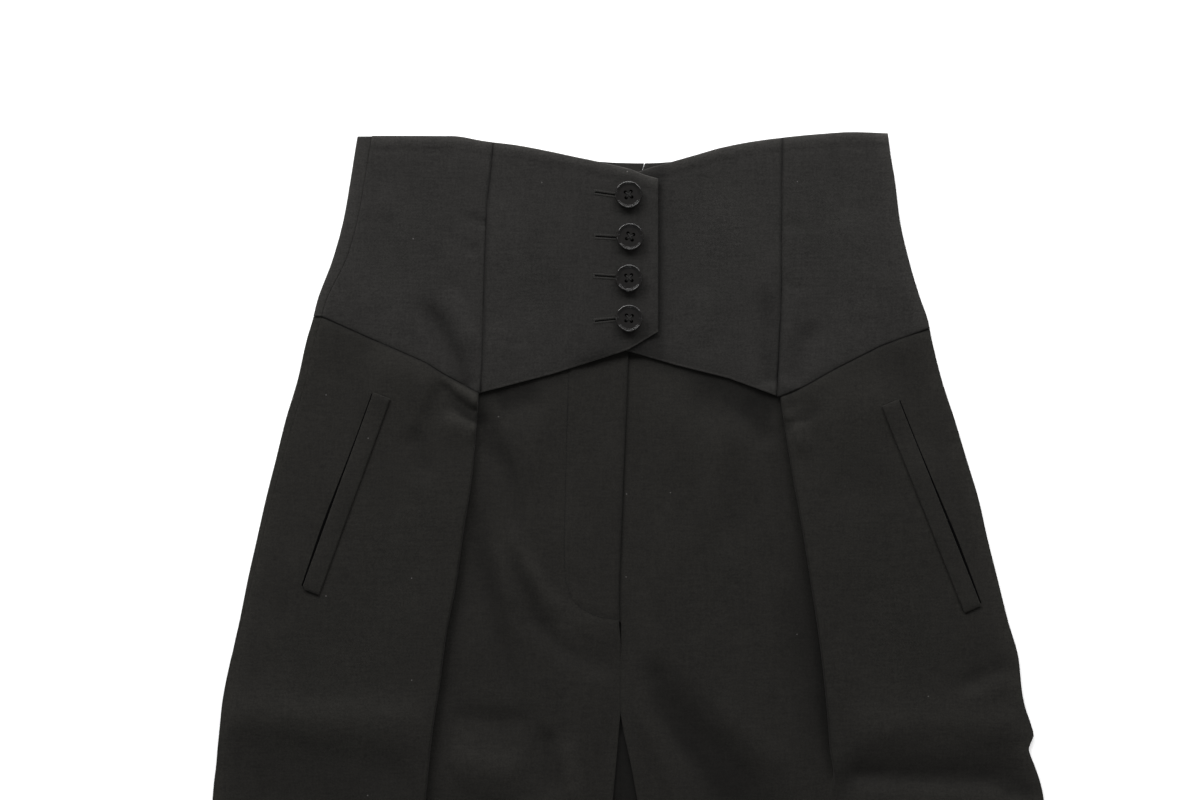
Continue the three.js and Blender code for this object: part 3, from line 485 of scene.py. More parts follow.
YOKE_FOLDS = {
    "side_right": fold_rows(
        (-143, 424, -107, 356, -3, 7, 8, -2.2, 0.35, 0.05),
        (-123, 428, -103, 380, -2, 6, 8, 1.0, 0.3, 0.3),
        (-112, 475, -94, 468, 0, 3, 3, -0.6, 0.5, 0.05),
        (-108, 456, -100, 450, 1, 3, 4, -0.5, 0.4, 0.1),
        (-168, 500, -132, 440, 5, 16, 20, 0.5, 0.3, 0.4),
        (-190, 450, -160, 410, 3, 12, 14, 0.5, 0.3, 0.3),
    ),
    "side_left": fold_rows(
        (126, 406, 110, 360, 2, 7, 8, -1.2, 0.3, 0.1),
        (140, 480, 160, 412, -5, 16, 18, 0.6, 0.3, 0.4),
        (104, 470, 122, 464, 0, 3, 4, -0.4, 0.05, 0.5),
        (104, 430, 120, 424, 0, 3, 4, -0.4, 0.05, 0.5),
        (178, 440, 164, 400, 2, 10, 12, 0.5, 0.3, 0.3),
    ),
    "centre_right": fold_rows(
        (-84, 500, -70, 420, 4, 14, 18, 0.5, 0.3, 0.4),
        (-60, 470, -44, 396, 4, 12, 14, -0.4, 0.3, 0.4),
        (-90, 404, -72, 372, 1, 8, 10, 0.5, 0.3, 0.4),
    ),
    "centre_left": fold_rows(
        (58, 500, 64, 420, -3, 16, 18, 0.5, 0.3, 0.4),
        (90, 430, 95, 360, -2, 9, 7, -1.6, 0.35, 0.05),
        (40, 430, 52, 384, -2, 12, 12, 0.4, 0.3, 0.4),
    ),
}

BACK_FOLDS = fold_rows(
    (-30, 330, -110, 250, 5, 14, 18, 0.5, 0.3, 0.3),
    (-60, 260, -150, 190, 6, 14, 20, 0.5, 0.3, 0.3),
    (-100, 120, -220, 60, 8, 18, 24, 0.5, 0.3, 0.3),
    (-60, 10, -160, -40, 6, 16, 22, 0.5, 0.3, 0.3),
    (-220, -110, -110, -170, 6, 16, 22, 0.5, 0.3, 0.3),
    (-70, -220, -160, -270, 5, 16, 20, 0.5, 0.3, 0.3),
    (-190, -360, -100, -400, 5, 16, 20, 0.5, 0.3, 0.3),
    (40, 320, 120, 236, -5, 14, 18, 0.5, 0.3, 0.3),
    (70, 240, 170, 180, -6, 14, 20, 0.5, 0.3, 0.3),
    (110, 100, 230, 50, -8, 18, 24, 0.5, 0.3, 0.3),
    (60, -10, 150, -60, -6, 16, 22, 0.5, 0.3, 0.3),
    (220, -130, 120, -190, -6, 16, 22, 0.5, 0.3, 0.3),
    (70, -250, 160, -300, -5, 16, 20, 0.5, 0.3, 0.3),
    (180, -390, 90, -430, -5, 16, 20, 0.5, 0.3, 0.3),
)

# The fly's stitched line, from beneath the yoke round to the fly's end
FLY_LINE = (
    (-39.5, 379), (-40.5, 340), (-41.8, 290), (-42.6, 250), (-41.6, 232), (-37.6, 219.5), (-28.4, 211),
    (-17.8, 206.6), (-7.4, 205.2),
)
FLY_STITCH_GAP = 0.12

WELTS = {
    "right": {"top": (-169.7, 356.3), "low": (-217.2, 225.6), "width": 12.2},
    "left": {"top": (180.1, 351.7), "low": (235.3, 214.0), "width": 12.2},
}

BUTTONS = table("y x", (487.8, 0.3), (459.8, 1.3), (432.3, 0.5), (405.5, 0.6))
BUTTONHOLES = table(
    "y1 x1 y2",
    (489.7, -22.2, 486.9), (460.2, -21.9, 459.1), (434, -22.4, 432.7), (403.6, -22.2, 405.6),
)
BUTTONHOLE_END = -3.0


def sign(side):
    return -1.0 if side == "right" else 1.0


def outline_x(side, y):
    return smooth(OUTLINE, side, y)


def side_seam_x(side, y):
    edge = outline_x(side, y)
    return edge + smooth(SIDE_WRAP, "wrap", y) if side == "right" else edge


def folds_at(rows, x, y):
    """Height that soft folds add at each point."""
    total = np.zeros(np.broadcast(x, y).shape)
    for row in rows:
        run_x, run_y = row["x2"] - row["x1"], row["y2"] - row["y1"]
        length = math.hypot(run_x, run_y)
        along = ((x - row["x1"]) * run_x + (y - row["y1"]) * run_y) / length**2
        across = ((x - row["x1"]) * run_y - (y - row["y1"]) * run_x) / length
        share = clamp01(along)
        across = across - row["bow"] * 4 * share * (1 - share)
        width = np.where(across < 0, row["left"], row["right"])
        past = (along - share) * length
        distance = np.hypot(across / width, past / np.minimum(row["left"], row["right"]))
        ends = ease(clamp01(share / row["fade_in"])) * ease(clamp01((1 - share) / row["fade_out"]))
        total = total + row["height"] * bell(distance, 1.0) * ends
    return total


def winding_at(folds, x, y):
    """Height that winding folds add at each point."""
    total = np.zeros(np.broadcast(x, y).shape)
    for fold in folds:
        nearest = np.full(total.shape, 1e9)
        height = np.zeros(total.shape)
        for start, end in zip(fold[:-1], fold[1:]):
            a, b = (dict(zip(WINDING_COLUMNS.split(), point)) for point in (start, end))
            run_x, run_y = b["x"] - a["x"], b["y"] - a["y"]
            length = math.hypot(run_x, run_y)
            share = clamp01(((x - a["x"]) * run_x + (y - a["y"]) * run_y) / length**2)
            gap_x, gap_y = x - a["x"] - share * run_x, y - a["y"] - share * run_y
            gap = np.hypot(gap_x, gap_y)
            turned = gap_x * run_y - gap_y * run_x
            left, right = (mix(a[name], b[name], share) for name in ("left", "right"))
            width = np.where(turned < 0, left, right)
            here = mix(a["height"], b["height"], ease(share)) * bell(gap, width)
            height = np.where(gap < nearest, here, height)
            nearest = np.minimum(gap, nearest)
        total = total + height
    return total


def leg_relief(side, x, y):
    return folds_at(LEG_FOLDS[side], x, y) + winding_at(WINDING_FOLDS[side], x, y)


def ripple(x, y, size, height, seed):
    """Faint, uneven waviness of lying cloth."""
    flat_x, flat_y = np.broadcast_arrays(x, y)
    values = [
        noise.noise(Vector((px / size, py / size, seed)))
        for px, py in zip(flat_x.ravel(), flat_y.ravel())
    ]
    return height * np.array(values).reshape(flat_x.shape)


def leg_waves(side, x, y):
    return sum(
        ripple(x * stretch, y, size, height, WAVE_SEEDS[side] + shift)
        for stretch, size, height, shift in LEG_WAVES
    )


def pleat_height(side, y):
    """How much of a pleat's height is left: the left one opens sooner and nearly flat."""
    low = 1 - ease(ramp(*PLEAT_FLATTENS, y))
    if side == "right":
        return low
    return low * mix(1.0, LEFT_PLEAT_REST, ease(ramp(*LEFT_PLEAT_FLATTENS, y)))


def leg_loft(side, x, y):
    """Extra height of a front's side part, so that troughs stay above the back."""
    outer = np.abs(x - outline_x(side, y))
    return SIDE_LOFT * ease(clamp01(outer / SIDE_LOFT_REACH)) * ease(ramp(*SIDE_LOFT_FADE, y))


def soft_floor(z, low):
    """Keeps heights above a level, with a soft bend where they come down to it."""
    over = (z - low) / FLOOR_BEND
    bent = np.log1p(np.exp(np.minimum(over, BEND_OVER)))
    return low + FLOOR_BEND * np.where(over > BEND_OVER, over, bent)


def pitch(y):
    """Height from one layer of a pleat to the next, which grows below the yoke."""
    return FOLD_PITCH + PLEAT_LOFT * ease(ramp(*PITCH_GROWS, y))


def side_part_plain(side, x, y):
    edge = outline_x(side, y)
    fold = smooth(PLEATS, side, y)
    inward = np.abs(x - edge)
    crown = LEG_CROWN * ease(clamp01(inward / CROWN_RISE))
    pleat_top = PLEAT_BASE + 2 * pitch(y) * pleat_height(side, y)
    layered = smooth(PLEATS, "depth", y) + PLEAT_COVER
    climb = ease(clamp01(inward / (np.abs(fold - edge) - layered)))
    return mix(LEG_EDGE_Z + crown, pleat_top, climb) + leg_loft(side, x, y) * (1 - climb)


def side_part_z(side, x, y):
    """Height of a leg front's side part, from the side edge to the pleat's fold."""
    edge = outline_x(side, y)
    fold = smooth(PLEATS, side, y)
    room = ease(clamp01(np.abs(x - edge) / EDGE_ROOM))
    layered = smooth(PLEATS, "depth", y)
    free = clamp01((np.abs(x - fold) - layered) / PLEAT_ROOM)
    relief = LEG_RELIEF * leg_relief(side, x, y) + leg_waves(side, x, y)
    relief = np.where(relief < 0, relief * free, relief * mix(RIDGE_ON_PLEAT, 1.0, free))
    z = soft_floor(side_part_plain(side, x, y) + relief * room, LEG_EDGE_Z - FLOOR_DROP)
    return z + LEG_SEAM_DIP * seam_dip(y - read(YOKE_SEAMS[side], "y", x))


def centre_part_z(side, x, y):
    """Height of a leg front's centre part, from the pleat to the centre line or inseam."""
    fold = smooth(PLEATS, side, y)
    inner = np.where(y > 190, -5.0, read(FRONT_INNER, side, y))
    flat = FLY_FLAT[side] * ramp(165.0, 203.0, y)
    past_fold = -sign(side) * (x - fold)
    from_pleat = clamp01(past_fold / EDGE_ROOM)
    from_centre = clamp01((sign(side) * (x - inner) - flat) / CROWN_RISE)
    hem = read(CENTRE_HEMS[side], "y", x)
    under_yoke = ease(ramp(*UNDER_YOKE_RISE, hem - y))
    loft = CENTRE_LOFT * ease(clamp01(past_fold / CENTRE_LOFT_REACH)) * ease(from_centre)
    settled = ramp(*CROTCH_FADE, y) * (1 - ease(from_centre))
    level = mix(PLEAT_BASE, LEG_EDGE_Z, settled)
    relief = LEG_RELIEF * leg_relief(side, x, y) + leg_waves(side, x, y)
    relief = relief * from_pleat * mix(RELIEF_AT_CENTRE, 1.0, from_centre)
    relief = relief * mix(RELIEF_UNDER_YOKE, 1.0, under_yoke)
    return soft_floor(level + loft * under_yoke + relief, LEG_EDGE_Z - FLOOR_DROP)


def fly_lift(x, y):
    return FLY_LIFT * ease(ramp(*FLY_RISES, x)) * ease(ramp(*FLY_STARTS, y))


def path_distance(x, y, path):
    """Distance of each point from a line through the path's points."""
    nearest = np.full(np.broadcast(x, y).shape, 1e9)
    for (ax, ay), (bx, by) in zip(path[:-1], path[1:]):
        run = (bx - ax) ** 2 + (by - ay) ** 2
        share = clamp01(((x - ax) * (bx - ax) + (y - ay) * (by - ay)) / run)
        gap = np.hypot(x - mix(ax, bx, share), y - mix(ay, by, share))
        nearest = np.minimum(nearest, gap)
    return nearest


def curve_points(path, spacing):
    """Evenly spaced points on a smooth curve through the path's points."""
    path = np.array(path, dtype=float)
    steps = np.hypot(*np.diff(path, axis=0).T)
    places = np.concatenate([[0.0], np.cumsum(steps)])
    rows_x = table("s v", *zip(places, path[:, 0]))
    rows_y = table("s v", *zip(places, path[:, 1]))
    along = np.linspace(0, places[-1], max(2, int(places[-1] / spacing)))
    return np.column_stack([smooth(rows_x, "v", along), smooth(rows_y, "v", along)])


FLY_CURVE = curve_points(FLY_LINE, 4.0)


def leg_front_z(side, x, y):
    """Height of a leg front's centre part with its fly."""
    z = centre_part_z(side, x, y)
    if side == "right":
        pressed = path_distance(x, y, FLY_CURVE)
        z = z + fly_lift(x, y) - FLY_PRESS * bell(pressed, FLY_PRESS_WIDTH)
    return z


def pleat_section(side, y):
    """Section of a pleat at one height: points across and their heights above the surface."""
    inward = -sign(side)
    radius = float(pitch(y)) / 2
    edge = float(smooth(PLEATS, side, y)) - inward * PLEAT_INSET
    depth = float(smooth(PLEATS, "depth", y))
    top_x = edge - inward * radius
    low_x = top_x - inward * depth
    turn = np.linspace(0, math.pi, TURN_STEPS)
    xs = [top_x + inward * radius * math.sin(a) for a in turn]
    zs = [radius * (3 + math.cos(a)) for a in turn]
    for share in (0.33, 0.67):
        xs.append(mix(top_x, low_x, share))
        zs.append(2 * radius)
    xs += [low_x - inward * radius * math.sin(a) for a in turn]
    zs += [radius * (1 + math.cos(a)) for a in turn]
    xs, zs = np.array(xs), np.array(zs)
    opening = float(ease(ramp(*PLEAT_OPENS[side], y)))
    share = np.linspace(0, 1, len(xs))
    open_x = top_x + inward * PLEAT_OPEN_WIDTH * (share - 0.5)
    open_z = 4 * radius * (1 - ease(share))
    height = float(pleat_height(side, y))
    return mix(xs, open_x, opening), PLEAT_BASE + mix(zs, open_z, opening) * height


def leg_top_y(side, x, centre):
    seam = read(YOKE_SEAMS[side], "y", x) - TOUCH / 2
    if not centre:
        return seam
    past = -sign(side) * (x - float(smooth(PLEATS, side, PLEAT_TOP))) > 0
    return np.where(past, read(LEG_TOPS[side], "y", x), seam)


def leg_front_row(side, level, share):
    """One row of a leg front, as points from the side seam to the inner edge."""

    def row_y(x, centre):
        if share is None:
            return np.full(np.shape(x), level)
        return mix(TOP_BLOCK, leg_top_y(side, x, centre), share)

    seam_y = np.array([float(level)])
    for _ in range(10):
        seam_y = row_y(side_seam_x(side, seam_y), False)
    start = float(side_seam_x(side, seam_y)[0]) - sign(side) * TOUCH / 2
    section_x, section_z = pleat_section(side, level)
    shares = np.concatenate([[0, 0.01, 0.025, 0.05, 0.08], np.linspace(0.115, 0.985, 42)])
    side_x = mix(start, section_x[0], shares)
    side_y = row_y(side_x, False)
    side_z = side_part_z(side, side_x, side_y)
    bump = side_z[-1] - section_z[0]
    top_fade = np.linspace(1, 0, len(section_x)) ** 3
    section_y = row_y(section_x, False)
    fold = float(smooth(PLEATS, side, level))
    low = section_x[-1]
    inward = -sign(side)
    inner = float(read(FRONT_INNER, side, row_y(np.array([0.0]), True)[0]))
    past = fold + inward * max(PAST_PLEAT, inward * (low - fold) + PAST_PLEAT)
    band_x = inner - inward * FLY_BAND[side]
    outer_part = mix(past, band_x, np.linspace(0, 1, 24, endpoint=False))
    centre_x = np.concatenate([outer_part, mix(band_x, inner, np.linspace(0, 1, 27))])
    centre_y = row_y(centre_x, True)
    centre_z = leg_front_z(side, centre_x, centre_y)
    xs = np.concatenate([side_x, section_x, centre_x])
    ys = np.concatenate([side_y, section_y, centre_y])
    zs = np.concatenate([side_z, section_z + bump * top_fade, centre_z])
    row = np.column_stack([xs, ys, zs])
    return row if side == "right" else row[::-1]


def leg_front_grid(side):
    levels = np.concatenate([np.arange(*span) for span in LEG_ROWS])
    rows = [leg_front_row(side, level, None) for level in levels]
    for share in (*np.linspace(0.0, 0.92, 24), 0.95, 0.97, 0.985, 0.995, 1.0):
        rows.append(leg_front_row(side, mix(TOP_BLOCK, PLEAT_TOP, share), share))
    return np.array(rows)


def wrap_section(y, wall, back_z, edge_z, edge, front_z):
    """Points of a back panel that turns round the right side edge on to the front."""
    bend = math.radians(max(float(smooth(SIDE_WRAP, "bend", y)), 1.0))
    arc = (edge_z - back_z) / 2 * math.pi
    radius = arc / bend
    reach = radius if bend > math.pi / 2 else radius * math.sin(bend)
    angles = np.linspace(0, bend, TURN_STEPS + 1)
    inward = wall / 2 + reach - radius * np.sin(angles)
    heights = back_z + radius * (1 - np.cos(angles))
    wrap = float(smooth(SIDE_WRAP, "wrap", y)) - TOUCH / 2
    turned = bend > FULL_TURN
    for share in (0.25, 0.5, 0.75, 1.0):
        last, last_z = inward[TURN_STEPS], heights[TURN_STEPS]
        end = mix(last, wrap, share) if turned else last - 0.4 * share
        level = float(front_z(edge + end, y)) if turned else last_z
        inward = np.append(inward, end)
        heights = np.append(heights, mix(last_z, level, ease(share)))
    return edge + inward, heights


def back_row(side, inner, level, row_y, wall, back_z, edge_z, front_z):
    seam_y = level
    for _ in range(8):
        seam_y = float(row_y(side_seam_x(side, seam_y)))
    edge = float(outline_x(side, seam_y))
    shares = np.linspace(0, 1, 44)
    if side == "right":
        bent_x, bent_z = wrap_section(seam_y, wall, back_z, edge_z, edge, front_z)
        flat_x = mix(inner, bent_x[0], shares[:-1])
    else:
        bent_x, bent_z = np.array([]), np.array([])
        flat_x = mix(inner, edge, shares)
    flat_y = row_y(flat_x)
    room = ease(clamp01(np.abs(flat_x - edge) / BACK_ROOM["edge"]))
    room = room * ease(clamp01(np.abs(flat_x - inner) / BACK_ROOM["inner"]))
    flat_z = back_z + folds_at(BACK_FOLDS, flat_x, flat_y) * room
    flat = np.column_stack([flat_x, flat_y, flat_z])
    row = np.concatenate([flat, np.column_stack([bent_x, np.full(len(bent_x), seam_y), bent_z])])
    return row[::-1] if side == "right" else row


def leg_back_grid(side):
    def row(level, row_y):
        inner = float(read(BACK_INNER, side, level))
        front_z = partial(side_part_plain, side)
        return back_row(side, inner, level, row_y, LEG_WALL, LEG_BACK_Z, LEG_EDGE_Z, front_z)

    def seam(x):
        return read(YOKE_SEAMS["back"], "y", x) - TOUCH / 2

    levels = np.concatenate([np.arange(*span) for span in BACK_ROWS])
    rows = [row(level, lambda x, at=level: np.full(np.shape(x), at)) for level in levels]
    edge_top = float(seam(outline_x(side, 405.0)))
    for share in np.linspace(0, 1, 20):
        rows.append(row(mix(TOP_BLOCK, edge_top, share), lambda x, s=share: mix(TOP_BLOCK, seam(x), s)))
    return np.array(rows)


def stack_share(y):
    return 1 - ramp(*STACK_FALLS, y)


def yoke_top(side, x):
    return smooth(TOP_EDGES[side], "y", x)


def top_roll(side, x, y):
    """Rolled top edge: a faint groove below the edge, where the facing ends."""
    below = yoke_top(side, x) - y
    return sum(height * bell(below - place, width) for height, place, width in (TOP_GROOVE, TOP_BEAD))


def seam_dip(distance):
    return -SEAM_DIP * np.exp(-np.abs(distance) / SEAM_DIP_WIDTH)


def yoke_side_plain(side, x, y):
    edge = outline_x(side, y)
    princess = read(PRINCESS, side, y)
    inward = clamp01(np.abs(x - edge) / np.abs(princess - edge))
    near_edge = clamp01(np.abs(x - edge) / CROWN_RISE)
    plain = YOKE_EDGE_Z + YOKE_CROWN * ease(near_edge) + SIDE_RISE * inward
    seam_y = read(YOKE_SEAMS[side], "y", x)
    at_seam = side_part_plain(side, x, seam_y) + SEAM_STEP
    settled = ease(ramp(*SETTLES_ABOVE, y - seam_y))
    return mix(plain, mix(at_seam, plain, settled), near_edge)


def yoke_side_z(side, x, y):
    relief = YOKE_RELIEF * folds_at(YOKE_FOLDS[f"side_{side}"], x, y)
    relief = relief + ripple(x, y, YOKE_WAVE, SIDE_WAVE_HEIGHT, 7.0)
    room = ease(clamp01(np.abs(x - outline_x(side, y)) / SIDE_ROOM))
    seams = seam_dip(x - read(PRINCESS, side, y))
    seams = seams + SIDE_SEAM_SHARE * seam_dip(y - read(YOKE_SEAMS[side], "y", x))
    return yoke_side_plain(side, x, y) + relief * room + top_roll(side, x, y) + seams


def over_fly_lift(x, y):
    lift = np.minimum(ramp(*FLY_RISES, x), ramp(*FLY_PASSES, x))
    return FLY_LIFT * ease(lift) * stack_share(y)


def yoke_centre_plain(side, x, y):
    princess = read(PRINCESS, side, y)
    level = mix(*CENTRE_LEVELS, stack_share(y))
    near_seam = 1 - ease(clamp01(np.abs(x - princess) / CROWN_RISE))
    return level + CENTRE_SEAM_RISE * near_seam * stack_share(y)


def overlap_lift(x):
    return (YOKE_WALL + LAP_GAP) * ease(ramp(*OVERLAP_RISES, x))


def yoke_centre_z(side, x, y):
    reach = np.minimum(x, -CENTRE_STRIP) if side == "right" else np.maximum(x, CENTRE_STRIP)
    z = yoke_centre_plain(side, reach, y) + over_fly_lift(x, y)
    if side == "right":
        z = z + overlap_lift(x) + ease(ramp(*LAP_CURL, x)) ** 2
    shown = ramp(*RELIEF_SHOWN[side], x)
    relief = YOKE_RELIEF * folds_at(YOKE_FOLDS[f"centre_{side}"], x, y)
    relief = relief + ripple(x, y, YOKE_WAVE, CENTRE_WAVE_HEIGHT, 9.0)
    seams = seam_dip(x - read(PRINCESS, side, y))
    above_hem = y - read(CENTRE_HEMS[side], "y", x)
    hem = -HEM_DIP * np.exp(-above_hem / HEM_DIP_WIDTH)
    if side == "right":
        free = ramp(*LAP_DIP_SPANS[0], x) * ramp(*LAP_DIP_SPANS[1], x)
        hem = hem - LAP_DIP * np.exp(-above_hem / LAP_DIP_WIDTH) * free
    return z + relief * mix(RELIEF_ON_STACK, 1.0, shown) + top_roll(side, x, y) + seams + hem


UP_SHARES = np.array([0, 0.006, 0.015, 0.03, *np.linspace(0.05, 0.95, 66), 0.97, 0.985, 0.994, 1])


def panel_rows(xs_of, bottom, top, z_of):
    """Rows of a panel whose columns stand at given places, between two shaped edges."""
    rows = []
    for up in UP_SHARES:
        x = xs_of(np.full(1, 450.0))
        y = np.full(len(x), 450.0)
        for _ in range(12):
            y = mix(bottom(x), top(x), up)
            x = xs_of(y)
        rows.append(np.column_stack([x, y, z_of(x, y)]))
    return np.array(rows)


def yoke_side_grid(side):
    across = np.array([0, 0.01, 0.025, 0.045, *np.linspace(0.07, 0.93, 46), 0.955, 0.975, 0.99, 1])

    def xs_of(y):
        seam = side_seam_x(side, y) - sign(side) * TOUCH / 2
        princess = read(PRINCESS, side, y) + sign(side) * TOUCH / 2
        start, end = (seam, princess) if side == "right" else (princess, seam)
        return mix(start, end, across)

    return panel_rows(
        xs_of,
        lambda x: read(YOKE_SEAMS[side], "y", x) + TOUCH / 2,
        partial(yoke_top, side),
        partial(yoke_side_z, side),
    )


def yoke_centre_grid(side):
    def xs_of(y):
        princess = read(PRINCESS, side, y) - sign(side) * TOUCH / 2
        if side == "right":
            places = np.concatenate([np.linspace(0, 0.5, 20, endpoint=False), np.linspace(0.5, 1, 40)])
            return mix(princess, LAP_EDGE, places)
        places = np.concatenate([np.linspace(0, 0.4, 26, endpoint=False), np.linspace(0.4, 1, 30)])
        return mix(-UNDERLAP, princess, places)

    return panel_rows(
        xs_of,
        lambda x: read(CENTRE_HEMS[side], "y", x),
        partial(yoke_top, side),
        partial(yoke_centre_z, side),
    )


def yoke_back_grid(side):
    front_z = partial(yoke_side_plain, side)
    rows = []
    for up in np.concatenate([[0, 0.01], np.linspace(0.03, 0.97, 36), [0.99, 1]]):

        def row_y(x, up=up):
            return mix(read(YOKE_SEAMS["back"], "y", x) + TOUCH / 2, smooth(TOP_BACK, "y", x), up)

        centre_y = float(row_y(0.0))
        gap = float(read(CENTRE_BACK, "half_gap", centre_y))
        inner = float(smooth(CENTRE_BACK, "x", centre_y)) + sign(side) * gap
        level = mix(*BACK_YOKE_LEVELS, up)
        rows.append(back_row(side, inner, level, row_y, YOKE_WALL, YOKE_BACK_Z, YOKE_EDGE_Z, front_z))
    return np.array(rows)


RIM_ANGLES = (15.0, 45.0)


def with_rim(grid, half, axis):
    """Adds lines of points near the two ends of an axis, with their shares of thickness."""
    grid = np.moveaxis(grid, axis, 0)
    full = math.cos(math.radians(RIM_ANGLES[0])) * half

    def near(edge, inside):
        run = inside - edge
        length = np.linalg.norm(run, axis=-1, keepdims=True)
        lines, shares = [edge], [math.sin(math.radians(RIM_ANGLES[0]))]
        for angle in (*RIM_ANGLES[1:], 90.0):
            distance = full - math.cos(math.radians(angle)) * half
            lines.append(edge + run / length * np.minimum(distance, RIM_SHARE * length))
            shares.append(math.sin(math.radians(angle)))
        return lines, shares

    first, first_shares = near(grid[0], grid[1])
    last, last_shares = near(grid[-1], grid[-2])
    middle = list(grid[1:-1])
    lines = first + middle + last[::-1]
    shares = first_shares + [1.0] * len(middle) + last_shares[::-1]
    return np.moveaxis(np.array(lines), 0, axis), np.array(shares)


def shell_mesh(name, grid, thickness, painted_light_and_shade=None):
    """Closes a grid of points along the cloth's middle into a shell with round edges."""
    half = thickness / 2
    grid, row_shares = with_rim(grid, half, 0)
    grid, column_shares = with_rim(grid, half, 1)
    rows, columns = grid.shape[:2]
    along = np.empty_like(grid)
    along[:, 1:-1] = grid[:, 2:] - grid[:, :-2]
    along[:, 0], along[:, -1] = grid[:, 1] - grid[:, 0], grid[:, -1] - grid[:, -2]
    up = np.empty_like(grid)
    up[1:-1] = grid[2:] - grid[:-2]
    up[0], up[-1] = grid[1] - grid[0], grid[-1] - grid[-2]
    normal = np.cross(along, up)
    normal /= np.linalg.norm(normal, axis=-1, keepdims=True)
    thick = half * np.minimum(row_shares[:, None], column_shares[None, :])[..., None]
    points = np.concatenate([(grid + normal * thick * turn).reshape(-1, 3) for turn in (1, -1)])
    at = np.arange(rows * columns).reshape(rows, columns)
    below = at + rows * columns
    a, b, c, d = at[:-1, :-1], at[:-1, 1:], at[1:, 1:], at[1:, :-1]
    faces = [np.stack([a, b, c, d], axis=-1).reshape(-1, 4)]
    faces.append(np.stack([a, d, c, b], axis=-1).reshape(-1, 4) + rows * columns)
    faces.append(np.column_stack([below[0, :-1], below[0, 1:], at[0, 1:], at[0, :-1]]))
    faces.append(np.column_stack([at[-1, :-1], at[-1, 1:], below[-1, 1:], below[-1, :-1]]))
    faces.append(np.column_stack([at[:-1, 0], at[1:, 0], below[1:, 0], below[:-1, 0]]))
    faces.append(np.column_stack([below[:-1, -1], below[1:, -1], at[1:, -1], at[:-1, -1]]))
    mesh = mesh_from(name, points * MM, np.concatenate(faces))
    # Each point's painted light and shade, kept as an attribute that the material multiplies into the
    # colour
    shades = np.ones(len(points)) if painted_light_and_shade is None else painted_light_and_shade(points[:, 0], points[:, 1])
    mesh.attributes.new("painted_light_and_shade", "FLOAT", "POINT").data.foreach_set("value", shades.astype(np.float32))
    return mesh


def mesh_from(name, points, faces):
    """A mesh of four-sided faces, shaded smooth."""
    mesh = bpy.data.meshes.new(name)
    mesh.vertices.add(len(points))
    mesh.vertices.foreach_set("co", np.ascontiguousarray(points, dtype=np.float32).ravel())
    mesh.loops.add(faces.size)
    mesh.loops.foreach_set("vertex_index", np.ascontiguousarray(faces, dtype=np.int32).ravel())
    mesh.polygons.add(len(faces))
    mesh.polygons.foreach_set("loop_start", np.arange(0, faces.size, 4, dtype=np.int32))
    mesh.polygons.foreach_set("use_smooth", np.ones(len(faces), dtype=bool))
    mesh.update(calc_edges=True)
    mesh.validate()
    return mesh


# Painted shade beside the pleats: its width and strength down the leg
PLEAT_PAINTED_SHADE = {
    "right": table(
        "y width depth", (350, 7, 0.04), (330, 10, 0.04), (290, 12, 0.1), (230, 13, 0.23),
        (180, 12, 0.26), (130, 11, 0.22), (90, 10, 0.12), (40, 8, 0.05), (0, 6, 0.0),
    ),
    "left": table(
        "y width depth", (350, 7, 0.1), (330, 9, 0.18), (290, 8, 0.18), (230, 12, 0.36),
        (185, 15, 0.48), (140, 15, 0.42), (112, 13, 0.22), (90, 10, 0.0), (0, 6, 0.0),
    ),
}


def edge_light(side, x, y):
    """The pale table lights the cloth's rounded outer edges."""
    inside = np.abs(outline_x(side, y) - x)
    strength, width = EDGE_LIGHT
    return 1 + strength * bell(inside, width)


def leg_painted_shading(side, x, y):
    """Painted light and shade in the cloth's colour: lighter on ridges, darker in troughs and beside
    the pleat.
    """
    inward = -sign(side) * (x - smooth(PLEATS, side, y))
    bands = PLEAT_PAINTED_SHADE[side]
    width = smooth(bands, "width", y)
    band = smooth(bands, "depth", y) * np.exp(-((np.maximum(inward, 0) / width) ** BAND_CURVE))
    band = band * clamp01((inward + BAND_START) / BAND_START)
    relief = leg_relief(side, x, y)
    seam = seam_shade(y - read(YOKE_SEAMS[side], "y", x) + 1e3 * (inward > 2))
    # Painted light just under the hem, inside its real shadow, and painted shade further below
    below_hem = np.maximum(read(CENTRE_HEMS[side], "y", x) - y, 0)
    reach = HEM_SHADE_REACH[0] + HEM_SHADE_REACH[1] * ramp(*HEM_SHADE_GROWS, np.abs(x))
    close = HEM_PAINTED_LIGHT[0] * bell(below_hem, HEM_PAINTED_LIGHT[1]) - HEM_SHADE * bell(below_hem, reach)
    hem_shade = 1 + close * clamp01(inward / 2.0)
    light = seam * edge_light(side, x, y) * hem_shade * centre_shade(side, x, y)
    return np.clip((1 + RELIEF_PAINTED_SHADING * relief) * (1 - band), *LEG_TONES) * light


def centre_shade(side, x, y):
    """Shade along the fly's edge, and the raised fly that catches more light."""
    strength, width = FLY_EDGE_SHADE
    edge = bell(x - read(FRONT_INNER, "right", y), width) * ramp(*FLY_EDGE_FROM, y)
    across = (x - RAISED_PLACE["x"]) / RAISED_PLACE["across"]
    along = (y - RAISED_PLACE["y"]) / RAISED_PLACE["along"]
    raised = np.exp(-(across**2) - along**2)
    return (1 - strength * edge) * (1 + RAISED_LIGHT[side] * raised)


def seam_shade(distance):
    strength, width = SEAM_SHADE
    return 1 - strength * bell(distance, width)


